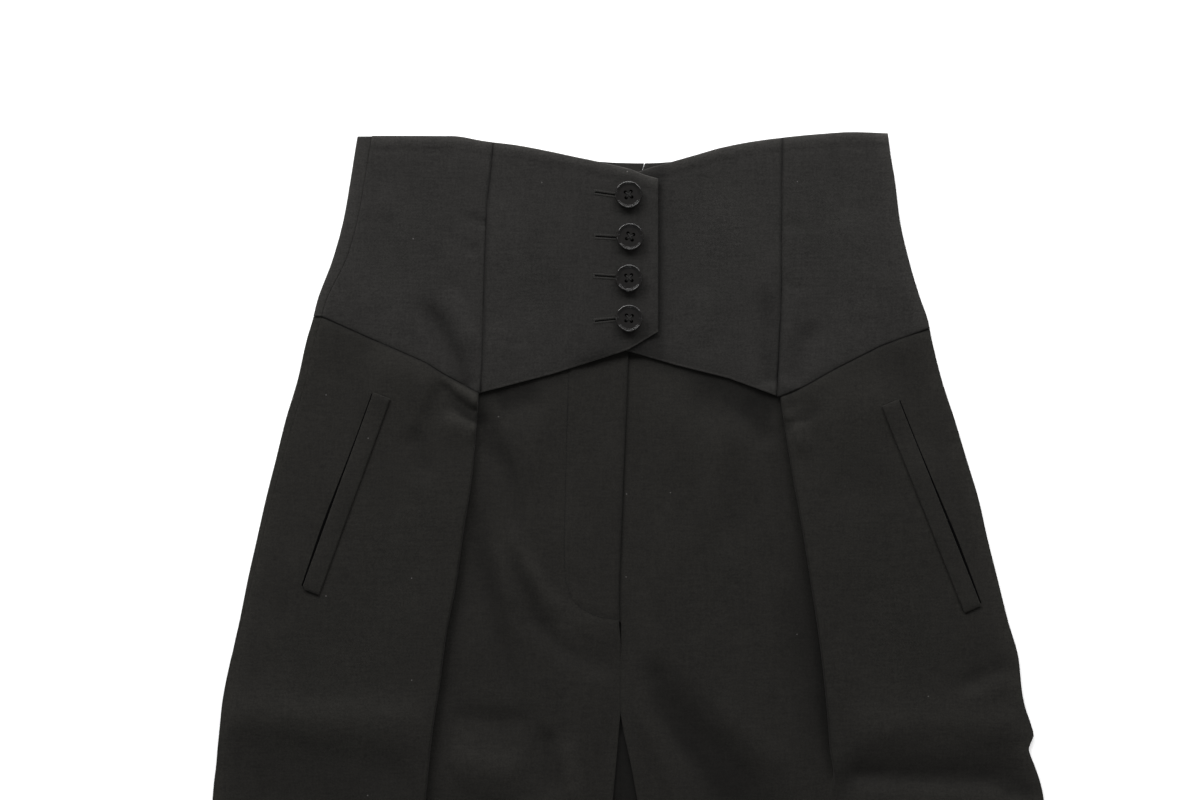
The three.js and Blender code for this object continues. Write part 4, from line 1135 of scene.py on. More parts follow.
def yoke_painted_shading(part, side, x, y):
    """Painted light and shade on a yoke panel: painted shade in its seams and beside the overlap."""
    shade = seam_shade(x - read(PRINCESS, side, y)) * edge_light(side, x, y)
    below_top = yoke_top(side, x) - y
    # Painted highlight along the rolled top edge
    shade = shade * (1 + sum(strength * bell(below_top, width) for strength, width in TOP_EDGE_PAINTED_LIGHT))
    if part == "front_side":
        above_seam = y - read(YOKE_SEAMS[side], "y", x)
        strength, high, wide = CORNER_SHADE
        corner = np.exp(-((above_seam / high) ** 2) - ((x - read(PRINCESS, side, y)) / wide) ** 2)
        shade = shade * seam_shade(above_seam) * (1 - strength * corner)
        relief = folds_at(YOKE_FOLDS[f"side_{side}"], x, y)
    else:
        relief = folds_at(YOKE_FOLDS[f"centre_{side}"], x, y)
        above_hem = y - read(CENTRE_HEMS[side], "y", x)
        # Painted light on the hem's rounded rim
        shade = shade * (1 + HEM_RIM_PAINTED_LIGHT[0] * bell(above_hem, HEM_RIM_PAINTED_LIGHT[1]))
        shade = shade * (1 - STRIP_SHADE[0] * bell(x - STRIP_MIDDLE, STRIP_SHADE[1]))
    if part == "front_centre" and side == "left":
        past_lap = np.maximum(x - LAP_SHADOW_FROM, 0)
        shade = shade * (1 - LAP_SHADOW[0] * bell(past_lap, LAP_SHADOW[1]))
    return np.clip(1 + RELIEF_PAINTED_SHADING * relief, *YOKE_TONES) * shade


# Painted light on the rounded outer edges on both sides
def outer_painted_light(x, y):
    return edge_light("right", x, y) * edge_light("left", x, y)


def back_painted_shading(x, y):
    """Painted shade on the leg backs where they show between the fronts."""
    strength, width = BACK_SHADE
    middle, half = BACK_SHADE_STRIP
    near = bell(np.maximum(np.abs(x - middle) - half, 0), width)
    return (1 - strength * near * ramp(*BACK_SHADE_GROWS, y)) * outer_painted_light(x, y)


def link_object(name, data):
    piece = bpy.data.objects.new(name, data)
    bpy.context.scene.collection.objects.link(piece)
    return piece


def add_object(name, mesh, material):
    piece = link_object(name, mesh)
    piece.data.materials.clear()
    piece.data.materials.append(material)
    return piece


# Materials


def fill_in(node, **settings):
    """Sets a node's properties by their names, or its input sockets by their labels."""
    for key, value in settings.items():
        if hasattr(node, key):
            setattr(node, key, value)
        else:
            node.inputs[key.replace("_", " ")].default_value = value
    return node


def add_node(tree, kind, **settings):
    return fill_in(tree.nodes.new(kind), **settings)


def math_node(tree, operation, first, second):
    node = add_node(tree, "ShaderNodeMath", operation=operation)
    for socket, value in zip(node.inputs, (first, second)):
        if isinstance(value, (int, float)):
            socket.default_value = value
        else:
            tree.links.new(value, socket)
    return node.outputs[0]


def add_sockets(tree, in_out, kind, *labels):
    """Adds sockets of one kind to a node group and returns the last of them."""
    for label in labels:
        socket = tree.interface.new_socket(label, in_out=in_out, socket_type=f"NodeSocket{kind}")
    return socket


# Noise in the weave: scale across and along in 1/mm, roughness, share of the shade
WEAVE_NOISE = {
    "fine": (0.8, 0.9, 0.75, 0.68),
    "weft": (0.09, 0.6, 0.6, 0.26),
    "warp": (0.55, 0.07, 0.6, 0.16),
    "cloudy": (0.018, 0.02, 0.6, 0.12),
}
RIB_RELIEF = 0.35
GRAIN_RELIEF = 1.2
LINT_SCALE = 0.035
LINT_SIZE = 0.014
LINT_RARITY = 0.93


def woven_group():
    """Shared effect of a fine, slightly heathered suiting: its shade and its relief."""
    name = "woven suiting"
    if name in bpy.data.node_groups:
        return bpy.data.node_groups[name]
    tree = bpy.data.node_groups.new(name, "ShaderNodeTree")
    link = tree.links.new
    add_sockets(tree, "INPUT", "Vector", "Vector")
    add_sockets(tree, "INPUT", "Float", "Threads per mm").default_value = 2.0
    add_sockets(tree, "OUTPUT", "Float", "Shade", "Relief", "Lint")
    source = tree.nodes.new("NodeGroupInput")
    result = tree.nodes.new("NodeGroupOutput")
    millimetres = add_node(tree, "ShaderNodeVectorMath", operation="SCALE", Scale=1 / MM)
    link(source.outputs["Vector"], millimetres.inputs[0])

    def times(value, weight):
        return math_node(tree, "MULTIPLY", value, weight)

    def plus(first, second):
        return math_node(tree, "ADD", first, second)

    def stretched(kind, middle=0.0):
        scale_x, scale_y, rough, weight = WEAVE_NOISE[kind]
        mapping = add_node(tree, "ShaderNodeMapping", Scale=(scale_x, scale_y, 0.6))
        link(millimetres.outputs[0], mapping.inputs["Vector"])
        texture = add_node(tree, "ShaderNodeTexNoise", Scale=1.0, Detail=3.0, Roughness=rough)
        link(mapping.outputs[0], texture.inputs["Vector"])
        value = texture.outputs["Fac"]
        if middle:
            value = math_node(tree, "SUBTRACT", value, middle)
        return times(value, weight)

    grain = plus(stretched("fine"), plus(stretched("weft"), stretched("warp")))
    link(plus(grain, stretched("cloudy", middle=0.5)), result.inputs["Shade"])

    separate = tree.nodes.new("ShaderNodeSeparateXYZ")
    link(millimetres.outputs[0], separate.inputs[0])

    def ribs(axis):
        turns = times(separate.outputs[axis], source.outputs["Threads per mm"])
        return math_node(tree, "SINE", times(turns, 2 * math.pi), 0.0)

    weave = times(ribs("X"), ribs("Y"))
    link(plus(times(weave, RIB_RELIEF), times(grain, GRAIN_RELIEF)), result.inputs["Relief"])

    cells = add_node(tree, "ShaderNodeTexVoronoi", voronoi_dimensions="2D", Randomness=1.0)
    fill_in(cells, Scale=LINT_SCALE)
    link(millimetres.outputs[0], cells.inputs["Vector"])
    near = math_node(tree, "LESS_THAN", cells.outputs["Distance"], LINT_SIZE)
    chosen = add_node(tree, "ShaderNodeSeparateColor")
    link(cells.outputs["Color"], chosen.inputs[0])
    few = math_node(tree, "GREATER_THAN", chosen.outputs[0], LINT_RARITY)
    link(times(near, few), result.inputs["Lint"])
    return tree


def fresh_material(name):
    """A new material and its main shader, or the one of that name with no shader to fill in."""
    material = bpy.data.materials.get(name)
    if material:
        return material, None
    material = bpy.data.materials.new(name)
    material.use_nodes = True
    return material, material.node_tree.nodes["Principled BSDF"]


def two_tones(tree, source, dark, light, low=0.0, high=1.0):
    """Turns a value into a colour between two tones."""
    tones = tree.nodes.new("ShaderNodeValToRGB")
    for stop, place, colour in zip(tones.color_ramp.elements, (low, high), (dark, light)):
        stop.position = place
        stop.color = (*colour, 1)
    tree.links.new(source, tones.inputs[0])
    return tones.outputs[0]


def object_noise(tree, scale, detail=2.0, distortion=0.0):
    place = tree.nodes.new("ShaderNodeTexCoord")
    texture = add_node(tree, "ShaderNodeTexNoise", Scale=scale, Detail=detail, Distortion=distortion)
    tree.links.new(place.outputs["Object"], texture.inputs["Vector"])
    return texture.outputs["Fac"]


def suiting_material(name, colour, heather):
    """Matt dark suiting with heathered grain, fine relief, soft nap and stray lint."""
    material, shader = fresh_material(name)
    if not shader:
        return material
    tree = material.node_tree
    link = tree.links.new
    place = tree.nodes.new("ShaderNodeTexCoord")
    woven = add_node(tree, "ShaderNodeGroup", node_tree=woven_group())
    link(place.outputs["Object"], woven.inputs["Vector"])
    dark = [channel * (1 - heather) for channel in colour]
    light = [channel * (1 + heather) for channel in colour]
    grain = two_tones(tree, woven.outputs["Shade"], dark, light, 0.42, 0.68)
    lint = add_node(tree, "ShaderNodeMix", data_type="RGBA")
    lint.inputs["B"].default_value = (0.075, 0.072, 0.07, 1)
    link(woven.outputs["Lint"], lint.inputs["Factor"])
    link(grain, lint.inputs["A"])
    # The piece's painted light and shade multiply the base colour
    painted_light_and_shade = add_node(tree, "ShaderNodeAttribute", attribute_name="painted_light_and_shade")
    toned = add_node(tree, "ShaderNodeVectorMath", operation="MULTIPLY")
    link(lint.outputs["Result"], toned.inputs[0])
    link(painted_light_and_shade.outputs["Fac"], toned.inputs[1])
    link(toned.outputs[0], shader.inputs["Base Color"])
    bump = add_node(tree, "ShaderNodeBump", Strength=0.35, Distance=0.00035)
    link(woven.outputs["Relief"], bump.inputs["Height"])
    link(bump.outputs[0], shader.inputs["Normal"])
    fill_in(shader, Roughness=0.8, Specular_IOR_Level=0.09, Sheen_Weight=0.05)
    fill_in(shader, Sheen_Roughness=0.5, Sheen_Tint=(0.75, 0.74, 0.72, 1))
    return material


def thread_material(name, colour, gloss=0.12):
    material, shader = fresh_material(name)
    if not shader:
        return material
    tree = material.node_tree
    dark = [channel * 0.7 for channel in colour]
    light = [channel * 1.3 for channel in colour]
    fibres = object_noise(tree, 2500.0)
    tree.links.new(two_tones(tree, fibres, dark, light), shader.inputs["Base Color"])
    fill_in(shader, Roughness=0.6, Specular_IOR_Level=gloss)
    return material


def button_material(name, colour):
    """Dark polished resin with faint clouds and fine rubbing marks."""
    material, shader = fresh_material(name)
    if not shader:
        return material
    tree = material.node_tree
    dark = [channel * 0.6 for channel in colour]
    light = [channel * 1.7 for channel in colour]
    clouds = object_noise(tree, 220.0, 4.0, 1.2)
    tree.links.new(two_tones(tree, clouds, dark, light), shader.inputs["Base Color"])
    rubbing = add_node(tree, "ShaderNodeMapRange", To_Min=0.08, To_Max=0.17)
    tree.links.new(object_noise(tree, 900.0, 3.0), rubbing.inputs["Value"])
    tree.links.new(rubbing.outputs[0], shader.inputs["Roughness"])
    fill_in(shader, IOR=1.52)
    return material


# Sizes and colours that a user may change


class TrousersCloth(bpy.types.PropertyGroup):
    leg_colour: FloatVectorProperty(
        name="Leg colour", description="Colour of the legs' suiting", subtype="COLOR",
        size=3, min=0, max=1, default=(0.0099, 0.0094, 0.0082),
    )
    yoke_colour: FloatVectorProperty(
        name="Yoke colour", description="Colour of the interfaced yoke", subtype="COLOR",
        size=3, min=0, max=1, default=(0.0146, 0.0140, 0.0131),
    )
    leg_thickness: FloatProperty(
        name="Leg cloth", description="Thickness of the legs' cloth", unit="LENGTH",
        min=0.0004, max=0.0012, default=0.0009,
    )
    yoke_thickness: FloatProperty(
        name="Yoke cloth", description="Thickness of the faced yoke", unit="LENGTH",
        min=0.0006, max=0.0016, default=0.0015,
    )
    heather: FloatProperty(
        name="Heathering", description="How far light and dark fibres part",
        min=0, max=0.8, default=0.36,
    )


class TrousersButtons(bpy.types.PropertyGroup):
    diameter: FloatProperty(
        name="Diameter", description="Button's width", unit="LENGTH", min=0.01, max=0.03, default=0.018
    )
    colour: FloatVectorProperty(
        name="Colour", description="Colour of the buttons", subtype="COLOR", size=3, min=0, max=1,
        default=(0.0062, 0.0057, 0.0054),
    )
    thread_colour: FloatVectorProperty(
        name="Thread", description="Colour of the button thread", subtype="COLOR", size=3, min=0, max=1,
        default=(0.016, 0.0155, 0.015),
    )


class TrousersStitches(bpy.types.PropertyGroup):
    length: FloatProperty(
        name="Stitch length", description="Length of a fly stitch", unit="LENGTH",
        min=0.001, max=0.005, default=0.0024,
    )
    thread: FloatProperty(
        name="Thread", description="Thickness of the sewing thread", unit="LENGTH",
        min=0.0002, max=0.001, default=0.0004,
    )
    seed: IntProperty(name="Seed", description="Seed of the stitches' unevenness", default=4)
    colour: FloatVectorProperty(
        name="Colour", description="Colour of the sewing thread", subtype="COLOR", size=3, min=0, max=1,
        default=(0.015, 0.0145, 0.0135),
    )


class TrousersStage(bpy.types.PropertyGroup):
    centre: FloatVectorProperty(
        name="View centre", description="Point that the camera looks at", subtype="TRANSLATION",
        unit="LENGTH", size=2, default=(-0.0187, 0.3513),
    )
    view_width: FloatProperty(
        name="View width", description="Width of cloth in view", unit="LENGTH",
        min=0.1, max=3, default=0.8,
    )
    lens: FloatProperty(
        name="Lens", description="Focal length in millimetres", min=20, max=200, default=85,
    )
    brightness: FloatProperty(
        name="Brightness", description="Strength of all lights", min=0.1, max=5, default=1.0,
    )


# The pieces


def cloth_piece(node, grid, thickness, slot, colour, heather, painted_light_and_shade=None):
    material = suiting_material(f"{slot} cloth", colour, heather)
    piece = add_object(f"cloth_{node}", shell_mesh(node, grid, thickness / MM, painted_light_and_shade), material)
    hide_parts(node)
    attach(piece, "root")
    return piece


class TROUSERS_OT_leg_backs(bpy.types.Operator):
    """Makes the two leg backs, flat on the surface"""

    bl_idname = "trousers.leg_backs"
    bl_label = "Leg backs"

    def execute(self, context):
        cloth = context.scene.trousers_cloth
        for side in ("right", "left"):
            cloth_piece(
                f"leg_back_{side}", leg_back_grid(side), cloth.leg_thickness, "suiting",
                cloth.leg_colour, cloth.heather, back_painted_shading,
            )
        return {"FINISHED"}


class TROUSERS_OT_leg_fronts(bpy.types.Operator):
    """Makes the two leg fronts with their deep pleats and the fly"""

    bl_idname = "trousers.leg_fronts"
    bl_label = "Leg fronts"

    def execute(self, context):
        cloth = context.scene.trousers_cloth
        for side in ("right", "left"):
            cloth_piece(
                f"leg_front_{side}", leg_front_grid(side), cloth.leg_thickness, "suiting",
                cloth.leg_colour, cloth.heather,
                partial(leg_painted_shading, side),
            )
        return {"FINISHED"}


class TROUSERS_OT_yoke(bpy.types.Operator):
    """Makes the yoke: two backs, two side panels, the underlap and the overlap"""

    bl_idname = "trousers.yoke"
    bl_label = "Yoke"

    def execute(self, context):
        cloth = context.scene.trousers_cloth
        for side in ("right", "left"):
            for part, grid, flat in (
                ("back", yoke_back_grid(side), (0.225, 0.145)),
                ("front_side", yoke_side_grid(side), (0.125, 0.175)),
                ("front_centre", yoke_centre_grid(side), (0.13, 0.175)),
            ):
                cloth_piece(
                    f"yoke_{part}_{side}", grid, cloth.yoke_thickness, "yoke_suiting",
                    cloth.yoke_colour, cloth.heather,
                    outer_painted_light if part == "back" else partial(yoke_painted_shading, part, side),
                )
        return {"FINISHED"}


def welt_frame(side):
    """A welt's corner, its direction down and its direction inwards, on the leg front."""
    top, low = np.array(WELTS[side]["top"]), np.array(WELTS[side]["low"])
    length = float(np.linalg.norm(low - top))
    down = (low - top) / length
    across = np.array([-down[1], down[0]])
    if across[0] * -sign(side) < 0:
        across = -across
    return top, down, across, length


WELT_CLOTH = 0.0009  # thickness in metres
WELT_HALF = 0.45
WELT_LIFT = 0.4
WELT_PILLOW = 0.35
WELT_CORNER = 2.5
WELT_END = 4.0
MOUTH_GAPE = 1.1
MOUTH_WIDEST = 0.68  # share of the mouth's length, from its top
MOUTH_SPREAD = 0.26
MOUTH_EDGES = (-0.8, 0.6)
MOUTH_LIFT = 0.55


def welt_grid(side):
    top, down, across, length = welt_frame(side)
    width = WELTS[side]["width"]
    rows = []
    for along in np.linspace(length, 0, 60):
        from_end = min(along, length - along)
        shares = np.linspace(0, 1, 12)
        corner = max(0.0, WELT_CORNER - (length - along)) if side == "right" else 0.0
        inset = WELT_CORNER - math.sqrt(max(0.0, WELT_CORNER**2 - corner**2))
        offsets = mix(inset, width, shares)
        x, y = (top[i] + down[i] * along + across[i] * offsets for i in (0, 1))
        base = side_part_z(side, x, y) + WELT_HALF + LAP_GAP + WELT_LIFT
        pillow = WELT_PILLOW * np.sin(shares * math.pi) * min(1.0, from_end / WELT_END)
        rows.append(np.column_stack([x, y, base + pillow]))
    grid = np.array(rows)
    return grid if side == "right" else grid[:, ::-1]


def mouth_shade_grid(side):
    """A dark strip as painted shade in the slit of a pocket's mouth, along the welt's outer edge."""
    top, down, across, length = welt_frame(side)
    rows = []
    for along in np.linspace(length - 2.0, 1.0, 60):
        gape = MOUTH_GAPE * math.exp(-(((along / length - MOUTH_WIDEST) / MOUTH_SPREAD) ** 2))
        offsets = np.linspace(MOUTH_EDGES[0] - gape, MOUTH_EDGES[1], 4)
        x, y = (top[i] + down[i] * along + across[i] * offsets for i in (0, 1))
        rows.append(np.column_stack([x, y, side_part_z(side, x, y) + MOUTH_LIFT]))
    grid = np.array(rows)
    return grid if side == "right" else grid[:, ::-1]


class TROUSERS_OT_welts(bpy.types.Operator):
    """Makes the two slanting pocket welts and dark strips of painted shade in the mouths beside them"""

    bl_idname = "trousers.welts"
    bl_label = "Pocket welts"

    def execute(self, context):
        cloth = context.scene.trousers_cloth
        for side in ("right", "left"):
            welt = cloth_piece(
                f"pocket_welt_{side}", welt_grid(side), WELT_CLOTH, "suiting", cloth.leg_colour,
                cloth.heather,
            )
            # A dark strip as painted shade in the pocket's mouth
            mouth = add_object(
                f"pocket_mouth_shade_{side}",
                shell_mesh(f"pocket_mouth_shade_{side}", mouth_shade_grid(side), 0.2),
                thread_material("pocket shadow", (0.002, 0.002, 0.002), 0.0),
            )
            mouth.parent = welt
            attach(mouth, "root")
        return {"FINISHED"}


def overlap_z(x, y):
    """Height of the overlap's middle, without its relief."""
    reach = np.minimum(x, -CENTRE_STRIP)
    return yoke_centre_plain("right", reach, y) + over_fly_lift(x, y) + overlap_lift(x)


BUTTON_REACH = 9.0  # half of the run over which a button takes the cloth's slope
BUTTON_RESTS = (-6.0, 2.0)


def button_base(x, y):
    """Height and tilt of a button on the overlap."""
    slope = float(overlap_z(x, y + BUTTON_REACH) - overlap_z(x, y - BUTTON_REACH)) / (2 * BUTTON_REACH)
    highest = max(float(overlap_z(place, y)) for place in BUTTON_RESTS)
    return highest + YOKE_WALL / 2 + LAP_GAP, math.atan(slope)


def finished_mesh(piece, name):
    """The mesh of a piece with its modifiers applied, in a plain object of that name."""
    graph = bpy.context.evaluated_depsgraph_get()
    mesh = bpy.data.meshes.new_from_object(piece.evaluated_get(graph))
    mesh.name = name
    old = piece.data
    bpy.data.objects.remove(piece)
    if old.users == 0:
        bpy.data.meshes.remove(old)
    return mesh


def turned_mesh(name, profile, around):
    """A solid of revolution about Z, from its axis out and back to its axis."""
    points, faces = [(0.0, 0.0, profile[0][1])], []
    for radius, height in profile:
        angles = [2 * math.pi * (j + 0.5) / around for j in range(around)]
        points += [(radius * math.cos(a), radius * math.sin(a), height) for a in angles]
    points.append((0.0, 0.0, profile[-1][1]))
    top = len(points) - 1
    last = 1 + (len(profile) - 1) * around
    for j in range(around):
        k = (j + 1) % around
        faces.append((0, 1 + k, 1 + j))
        faces.append((top, last + j, last + k))
        for i in range(len(profile) - 1):
            a, b = 1 + i * around, 1 + (i + 1) * around
            faces.append((a + j, a + k, b + k, b + j))
    mesh = bpy.data.meshes.new(name)
    mesh.from_pydata([Vector(p) * MM for p in points], [], faces)
    return mesh


# A button's section as shares of its radius and heights in millimetres, from below
BUTTON_PROFILE = (
    (0.34, 0.0), (0.66, 0.02), (0.86, 0.28), (0.97, 0.85), (1.0, 1.6), (1.0, 2.5),
    (0.994, 3.0), (0.978, 3.3), (0.952, 3.46), (0.92, 3.52), (0.902, 3.5), (0.888, 3.44),
    (0.878, 3.34), (0.872, 3.2), (0.87, 2.96), (0.862, 2.95), (0.81, 2.94), (0.796, 2.92),
    (0.786, 2.86), (0.78, 2.76), (0.778, 2.42), (0.77, 2.4), (0.66, 2.36), (0.5, 2.33),
    (0.3, 2.3),
)
HOLE_RADIUS = 1.0
HOLE_OFFSET = 1.9
HOLES = ((1, 1), (-1, 1), (-1, -1), (1, -1))
HOLE_PROFILE = (
    (HOLE_RADIUS, -3.0), (HOLE_RADIUS, 2.05), (HOLE_RADIUS + 0.3, 2.5), (HOLE_RADIUS + 0.3, 6.0),
)
BUTTON_SIDES = 96
HOLE_SIDES = 32
SHARP_ANGLE = 38  # degrees
BUTTON_TURNS = (8.0, -14.0, 4.0, -6.0)
THREAD_RADIUS = 0.2
TUBE_SIDES = 8

# Pairs of strands: their direction in degrees and how high they stand in the middle
STRANDS = ((45, 0.35), (135, 0.6))
STRAND_GAP = 0.36
STRAND_BASE = 2.2
STRAND_DIVE = 1.4


def button_mesh(name, diameter):
    """A turned button with a rolled rim, a groove and a dished middle with four holes."""
    radius = diameter / MM / 2
    profile = [(share * radius, height) for share, height in BUTTON_PROFILE]
    body = link_object("button_blank", turned_mesh("button_blank", profile, BUTTON_SIDES))
    drills = []
    for across, up in HOLES:
        drill = link_object("button_drill", turned_mesh("button_drill", HOLE_PROFILE, HOLE_SIDES))
        drill.location = (across * HOLE_OFFSET * MM, up * HOLE_OFFSET * MM, 0)
        cut = body.modifiers.new("hole", "BOOLEAN")
        cut.object, cut.operation, cut.solver = drill, "DIFFERENCE", "EXACT"
        drills.append(drill)
    mesh = finished_mesh(body, name)
    for drill in drills:
        bpy.data.meshes.remove(drill.data)
    mesh.shade_smooth()
    mesh.set_sharp_from_angle(angle=math.radians(SHARP_ANGLE))
    return mesh


def tube_points(path, radius):
    """Closed tube along a path: its points and its faces."""
    path = np.array(path, dtype=float)
    ahead = np.gradient(path, axis=0)
    ahead /= np.linalg.norm(ahead, axis=1, keepdims=True)
    side = np.cross(ahead, (0.0, 0.0, 1.0))
    side /= np.linalg.norm(side, axis=1, keepdims=True)
    up = np.cross(side, ahead)
    sides = TUBE_SIDES
    angles = np.linspace(0, 2 * math.pi, sides, endpoint=False)
    ring = side[:, None] * np.cos(angles)[:, None] + up[:, None] * np.sin(angles)[:, None]
    points = (path[:, None] + ring * radius).reshape(-1, 3)
    faces = []
    for i in range(len(path) - 1):
        for j in range(sides):
            k = (j + 1) % sides
            faces.append((i * sides + j, (i + 1) * sides + j, (i + 1) * sides + k, i * sides + k))
    last = (len(path) - 1) * sides
    faces.append(tuple(range(sides)))
    faces.append(tuple(last + j for j in reversed(range(sides))))
    return [tuple(point) for point in points], faces


def joined_tubes(name, paths, radius):
    points, faces = [], []
    for path in paths:
        tube, tube_faces = tube_points(path, radius)
        faces += [tuple(i + len(points) for i in face) for face in tube_faces]
        points += tube
    mesh = bpy.data.meshes.new(name)
    mesh.from_pydata([Vector(p) * MM for p in points], [], faces)
    mesh.shade_smooth()
    return mesh


def thread_paths():
    """Strands of button thread that cross between opposite holes."""
    paths = []
    for turn, rise in STRANDS:
        ahead = np.array([math.cos(math.radians(turn)), math.sin(math.radians(turn))])
        beside = np.array([-ahead[1], ahead[0]])
        reach = HOLE_OFFSET * math.sqrt(2)
        for lane in (-0.5, 0.5):
            along = np.linspace(-1, 1, 17)
            flat = ahead * (along * reach)[:, None] + beside * lane * STRAND_GAP
            height = STRAND_BASE + rise * (1 - along**4) - STRAND_DIVE * np.abs(along) ** 9
            paths.append(np.column_stack([flat, height]))
    return paths


class TROUSERS_OT_buttons(bpy.types.Operator):
    """Makes the four turned buttons and the thread that holds them"""

    bl_idname = "trousers.buttons"
    bl_label = "Buttons"

    def execute(self, context):
        settings = context.scene.trousers_buttons
        resin = button_material("polished resin", settings.colour)
        thread = thread_material("button thread", settings.thread_colour)
        order = sorted(zip(BUTTONS["x"], BUTTONS["y"]), key=lambda place: -place[1])
        for i, (x, y) in enumerate(order, start=1):
            height, tilt = button_base(x, y)
            place = Matrix.Translation(Vector((x, y, height)) * MM) @ Matrix.Rotation(tilt, 4, "X")
            turn = Matrix.Rotation(math.radians(BUTTON_TURNS[i - 1]), 4, "Z")
            mesh = button_mesh(f"button_{i}", settings.diameter)
            mesh.transform(place @ turn)
            button = add_object(f"dressed_button_{i}", mesh, resin)
            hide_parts(f"button_{i}")
            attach(button, "root")
            strands = joined_tubes(f"button_thread_{i}", thread_paths(), THREAD_RADIUS)
            strands.transform(place @ turn)
            sewn = add_object(f"button_thread_{i}", strands, thread)
            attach(sewn, "root")
        return {"FINISHED"}


def stitch_tree():
    """Node tree that lays stitches along a line, with or across its direction."""
    name = "stitches along a line"
    tree = bpy.data.node_groups.get(name)
    if tree:
        return tree
    tree = bpy.data.node_groups.new(name, "GeometryNodeTree")
    link = tree.links.new
    add_sockets(tree, "INPUT", "Geometry", "Line")
    add_sockets(tree, "INPUT", "Float", "Spacing", "Stitch length", "Thread", "Turn", "Unevenness")
    add_sockets(tree, "INPUT", "Int", "Seed")
    add_sockets(tree, "INPUT", "Material", "Thread finish")
    add_sockets(tree, "OUTPUT", "Geometry", "Stitches")
    source = tree.nodes.new("NodeGroupInput")
    result = tree.nodes.new("NodeGroupOutput")

    def number(operation, first, second=0.0):
        return math_node(tree, operation, first, second)

    curve = tree.nodes.new("GeometryNodeMeshToCurve")
    spaced = tree.nodes.new("GeometryNodeResampleCurve")
    spaced.mode = "LENGTH"
    link(source.outputs["Line"], curve.inputs[0])
    link(curve.outputs[0], spaced.inputs["Curve"])
    link(source.outputs["Spacing"], spaced.inputs["Length"])

    ball = add_node(tree, "GeometryNodeMeshUVSphere", Segments=8, Rings=6, Radius=0.5)
    ball_size = tree.nodes.new("ShaderNodeCombineXYZ")
    link(source.outputs["Stitch length"], ball_size.inputs[0])
    link(source.outputs["Thread"], ball_size.inputs[1])
    link(source.outputs["Thread"], ball_size.inputs[2])
    stitch = tree.nodes.new("GeometryNodeTransform")
    link(ball.outputs[0], stitch.inputs["Geometry"])
    link(ball_size.outputs[0], stitch.inputs["Scale"])

    tangent = tree.nodes.new("GeometryNodeInputTangent")
    parts = tree.nodes.new("ShaderNodeSeparateXYZ")
    link(tangent.outputs[0], parts.inputs[0])
    heading = number("ARCTAN2", parts.outputs["Y"], parts.outputs["X"])

    def random(low, high, shift):
        node = tree.nodes.new("FunctionNodeRandomValue")
        node.data_type = "FLOAT"
        ends = [socket for socket in node.inputs if socket.type == "VALUE" and socket.enabled]
        ends[0].default_value, ends[1].default_value = low, high
        link(number("ADD", source.outputs["Seed"], shift), node.inputs["Seed"])
        return next(socket for socket in node.outputs if socket.enabled)

    wobble = number("MULTIPLY", random(-1.0, 1.0, 1), source.outputs["Unevenness"])
    angle = number("ADD", number("ADD", heading, source.outputs["Turn"]), wobble)
    rotation = tree.nodes.new("ShaderNodeCombineXYZ")
    link(angle, rotation.inputs[2])
    spread = number("ADD", 1.0, number("MULTIPLY", random(-1.0, 1.0, 2), source.outputs["Unevenness"]))

    placed = tree.nodes.new("GeometryNodeInstanceOnPoints")
    link(spaced.outputs[0], placed.inputs["Points"])
    link(stitch.outputs[0], placed.inputs["Instance"])
    link(rotation.outputs[0], placed.inputs["Rotation"])
    link(spread, placed.inputs["Scale"])
    real = tree.nodes.new("GeometryNodeRealizeInstances")
    finish = tree.nodes.new("GeometryNodeSetMaterial")
    link(placed.outputs[0], real.inputs[0])
    link(real.outputs[0], finish.inputs["Geometry"])
    link(source.outputs["Thread finish"], finish.inputs["Material"])
    link(finish.outputs[0], result.inputs[0])
    return tree


def stitch_mesh(name, lines, values, finish):
    """Plain mesh of stitches along lines of points in millimetres."""
    points, edges = [], []
    for line in lines:
        start = len(points)
        points += [tuple(np.array(point) * MM) for point in line]
        edges += [(start + i, start + i + 1) for i in range(len(line) - 1)]
    guide = bpy.data.meshes.new(f"{name}_line")
    guide.from_pydata(points, edges, [])
    worker = link_object(f"{name}_worker", guide)
    modifier = worker.modifiers.new("stitches", "NODES")
    modifier.node_group = stitch_tree()
    values = {**values, "Thread finish": finish}
    for socket in modifier.node_group.interface.items_tree:
        if socket.in_out == "INPUT" and socket.name in values:
            modifier[socket.identifier] = values[socket.name]
    mesh = finished_mesh(worker, name)
    mesh.shade_smooth()
    return mesh


BORDER = 1.15  # from the slit's middle to a border's middle
BORDER_LIFT = 0.08
BAR_REACH = 1.4
BAR_BACK = 0.4
BAR_LIFT = 0.1
SLIT_RADIUS = 0.34
SLIT_SINK = 0.05
BUTTONHOLE_STITCHES = {
    "Spacing": 0.5 * MM, "Stitch length": 1.5 * MM, "Thread": 0.46 * MM, "Turn": math.pi / 2,
    "Unevenness": 0.16,
}


def on_overlap(x, y, above):
    return float(yoke_centre_z("right", np.array(x), np.array(y))) + above


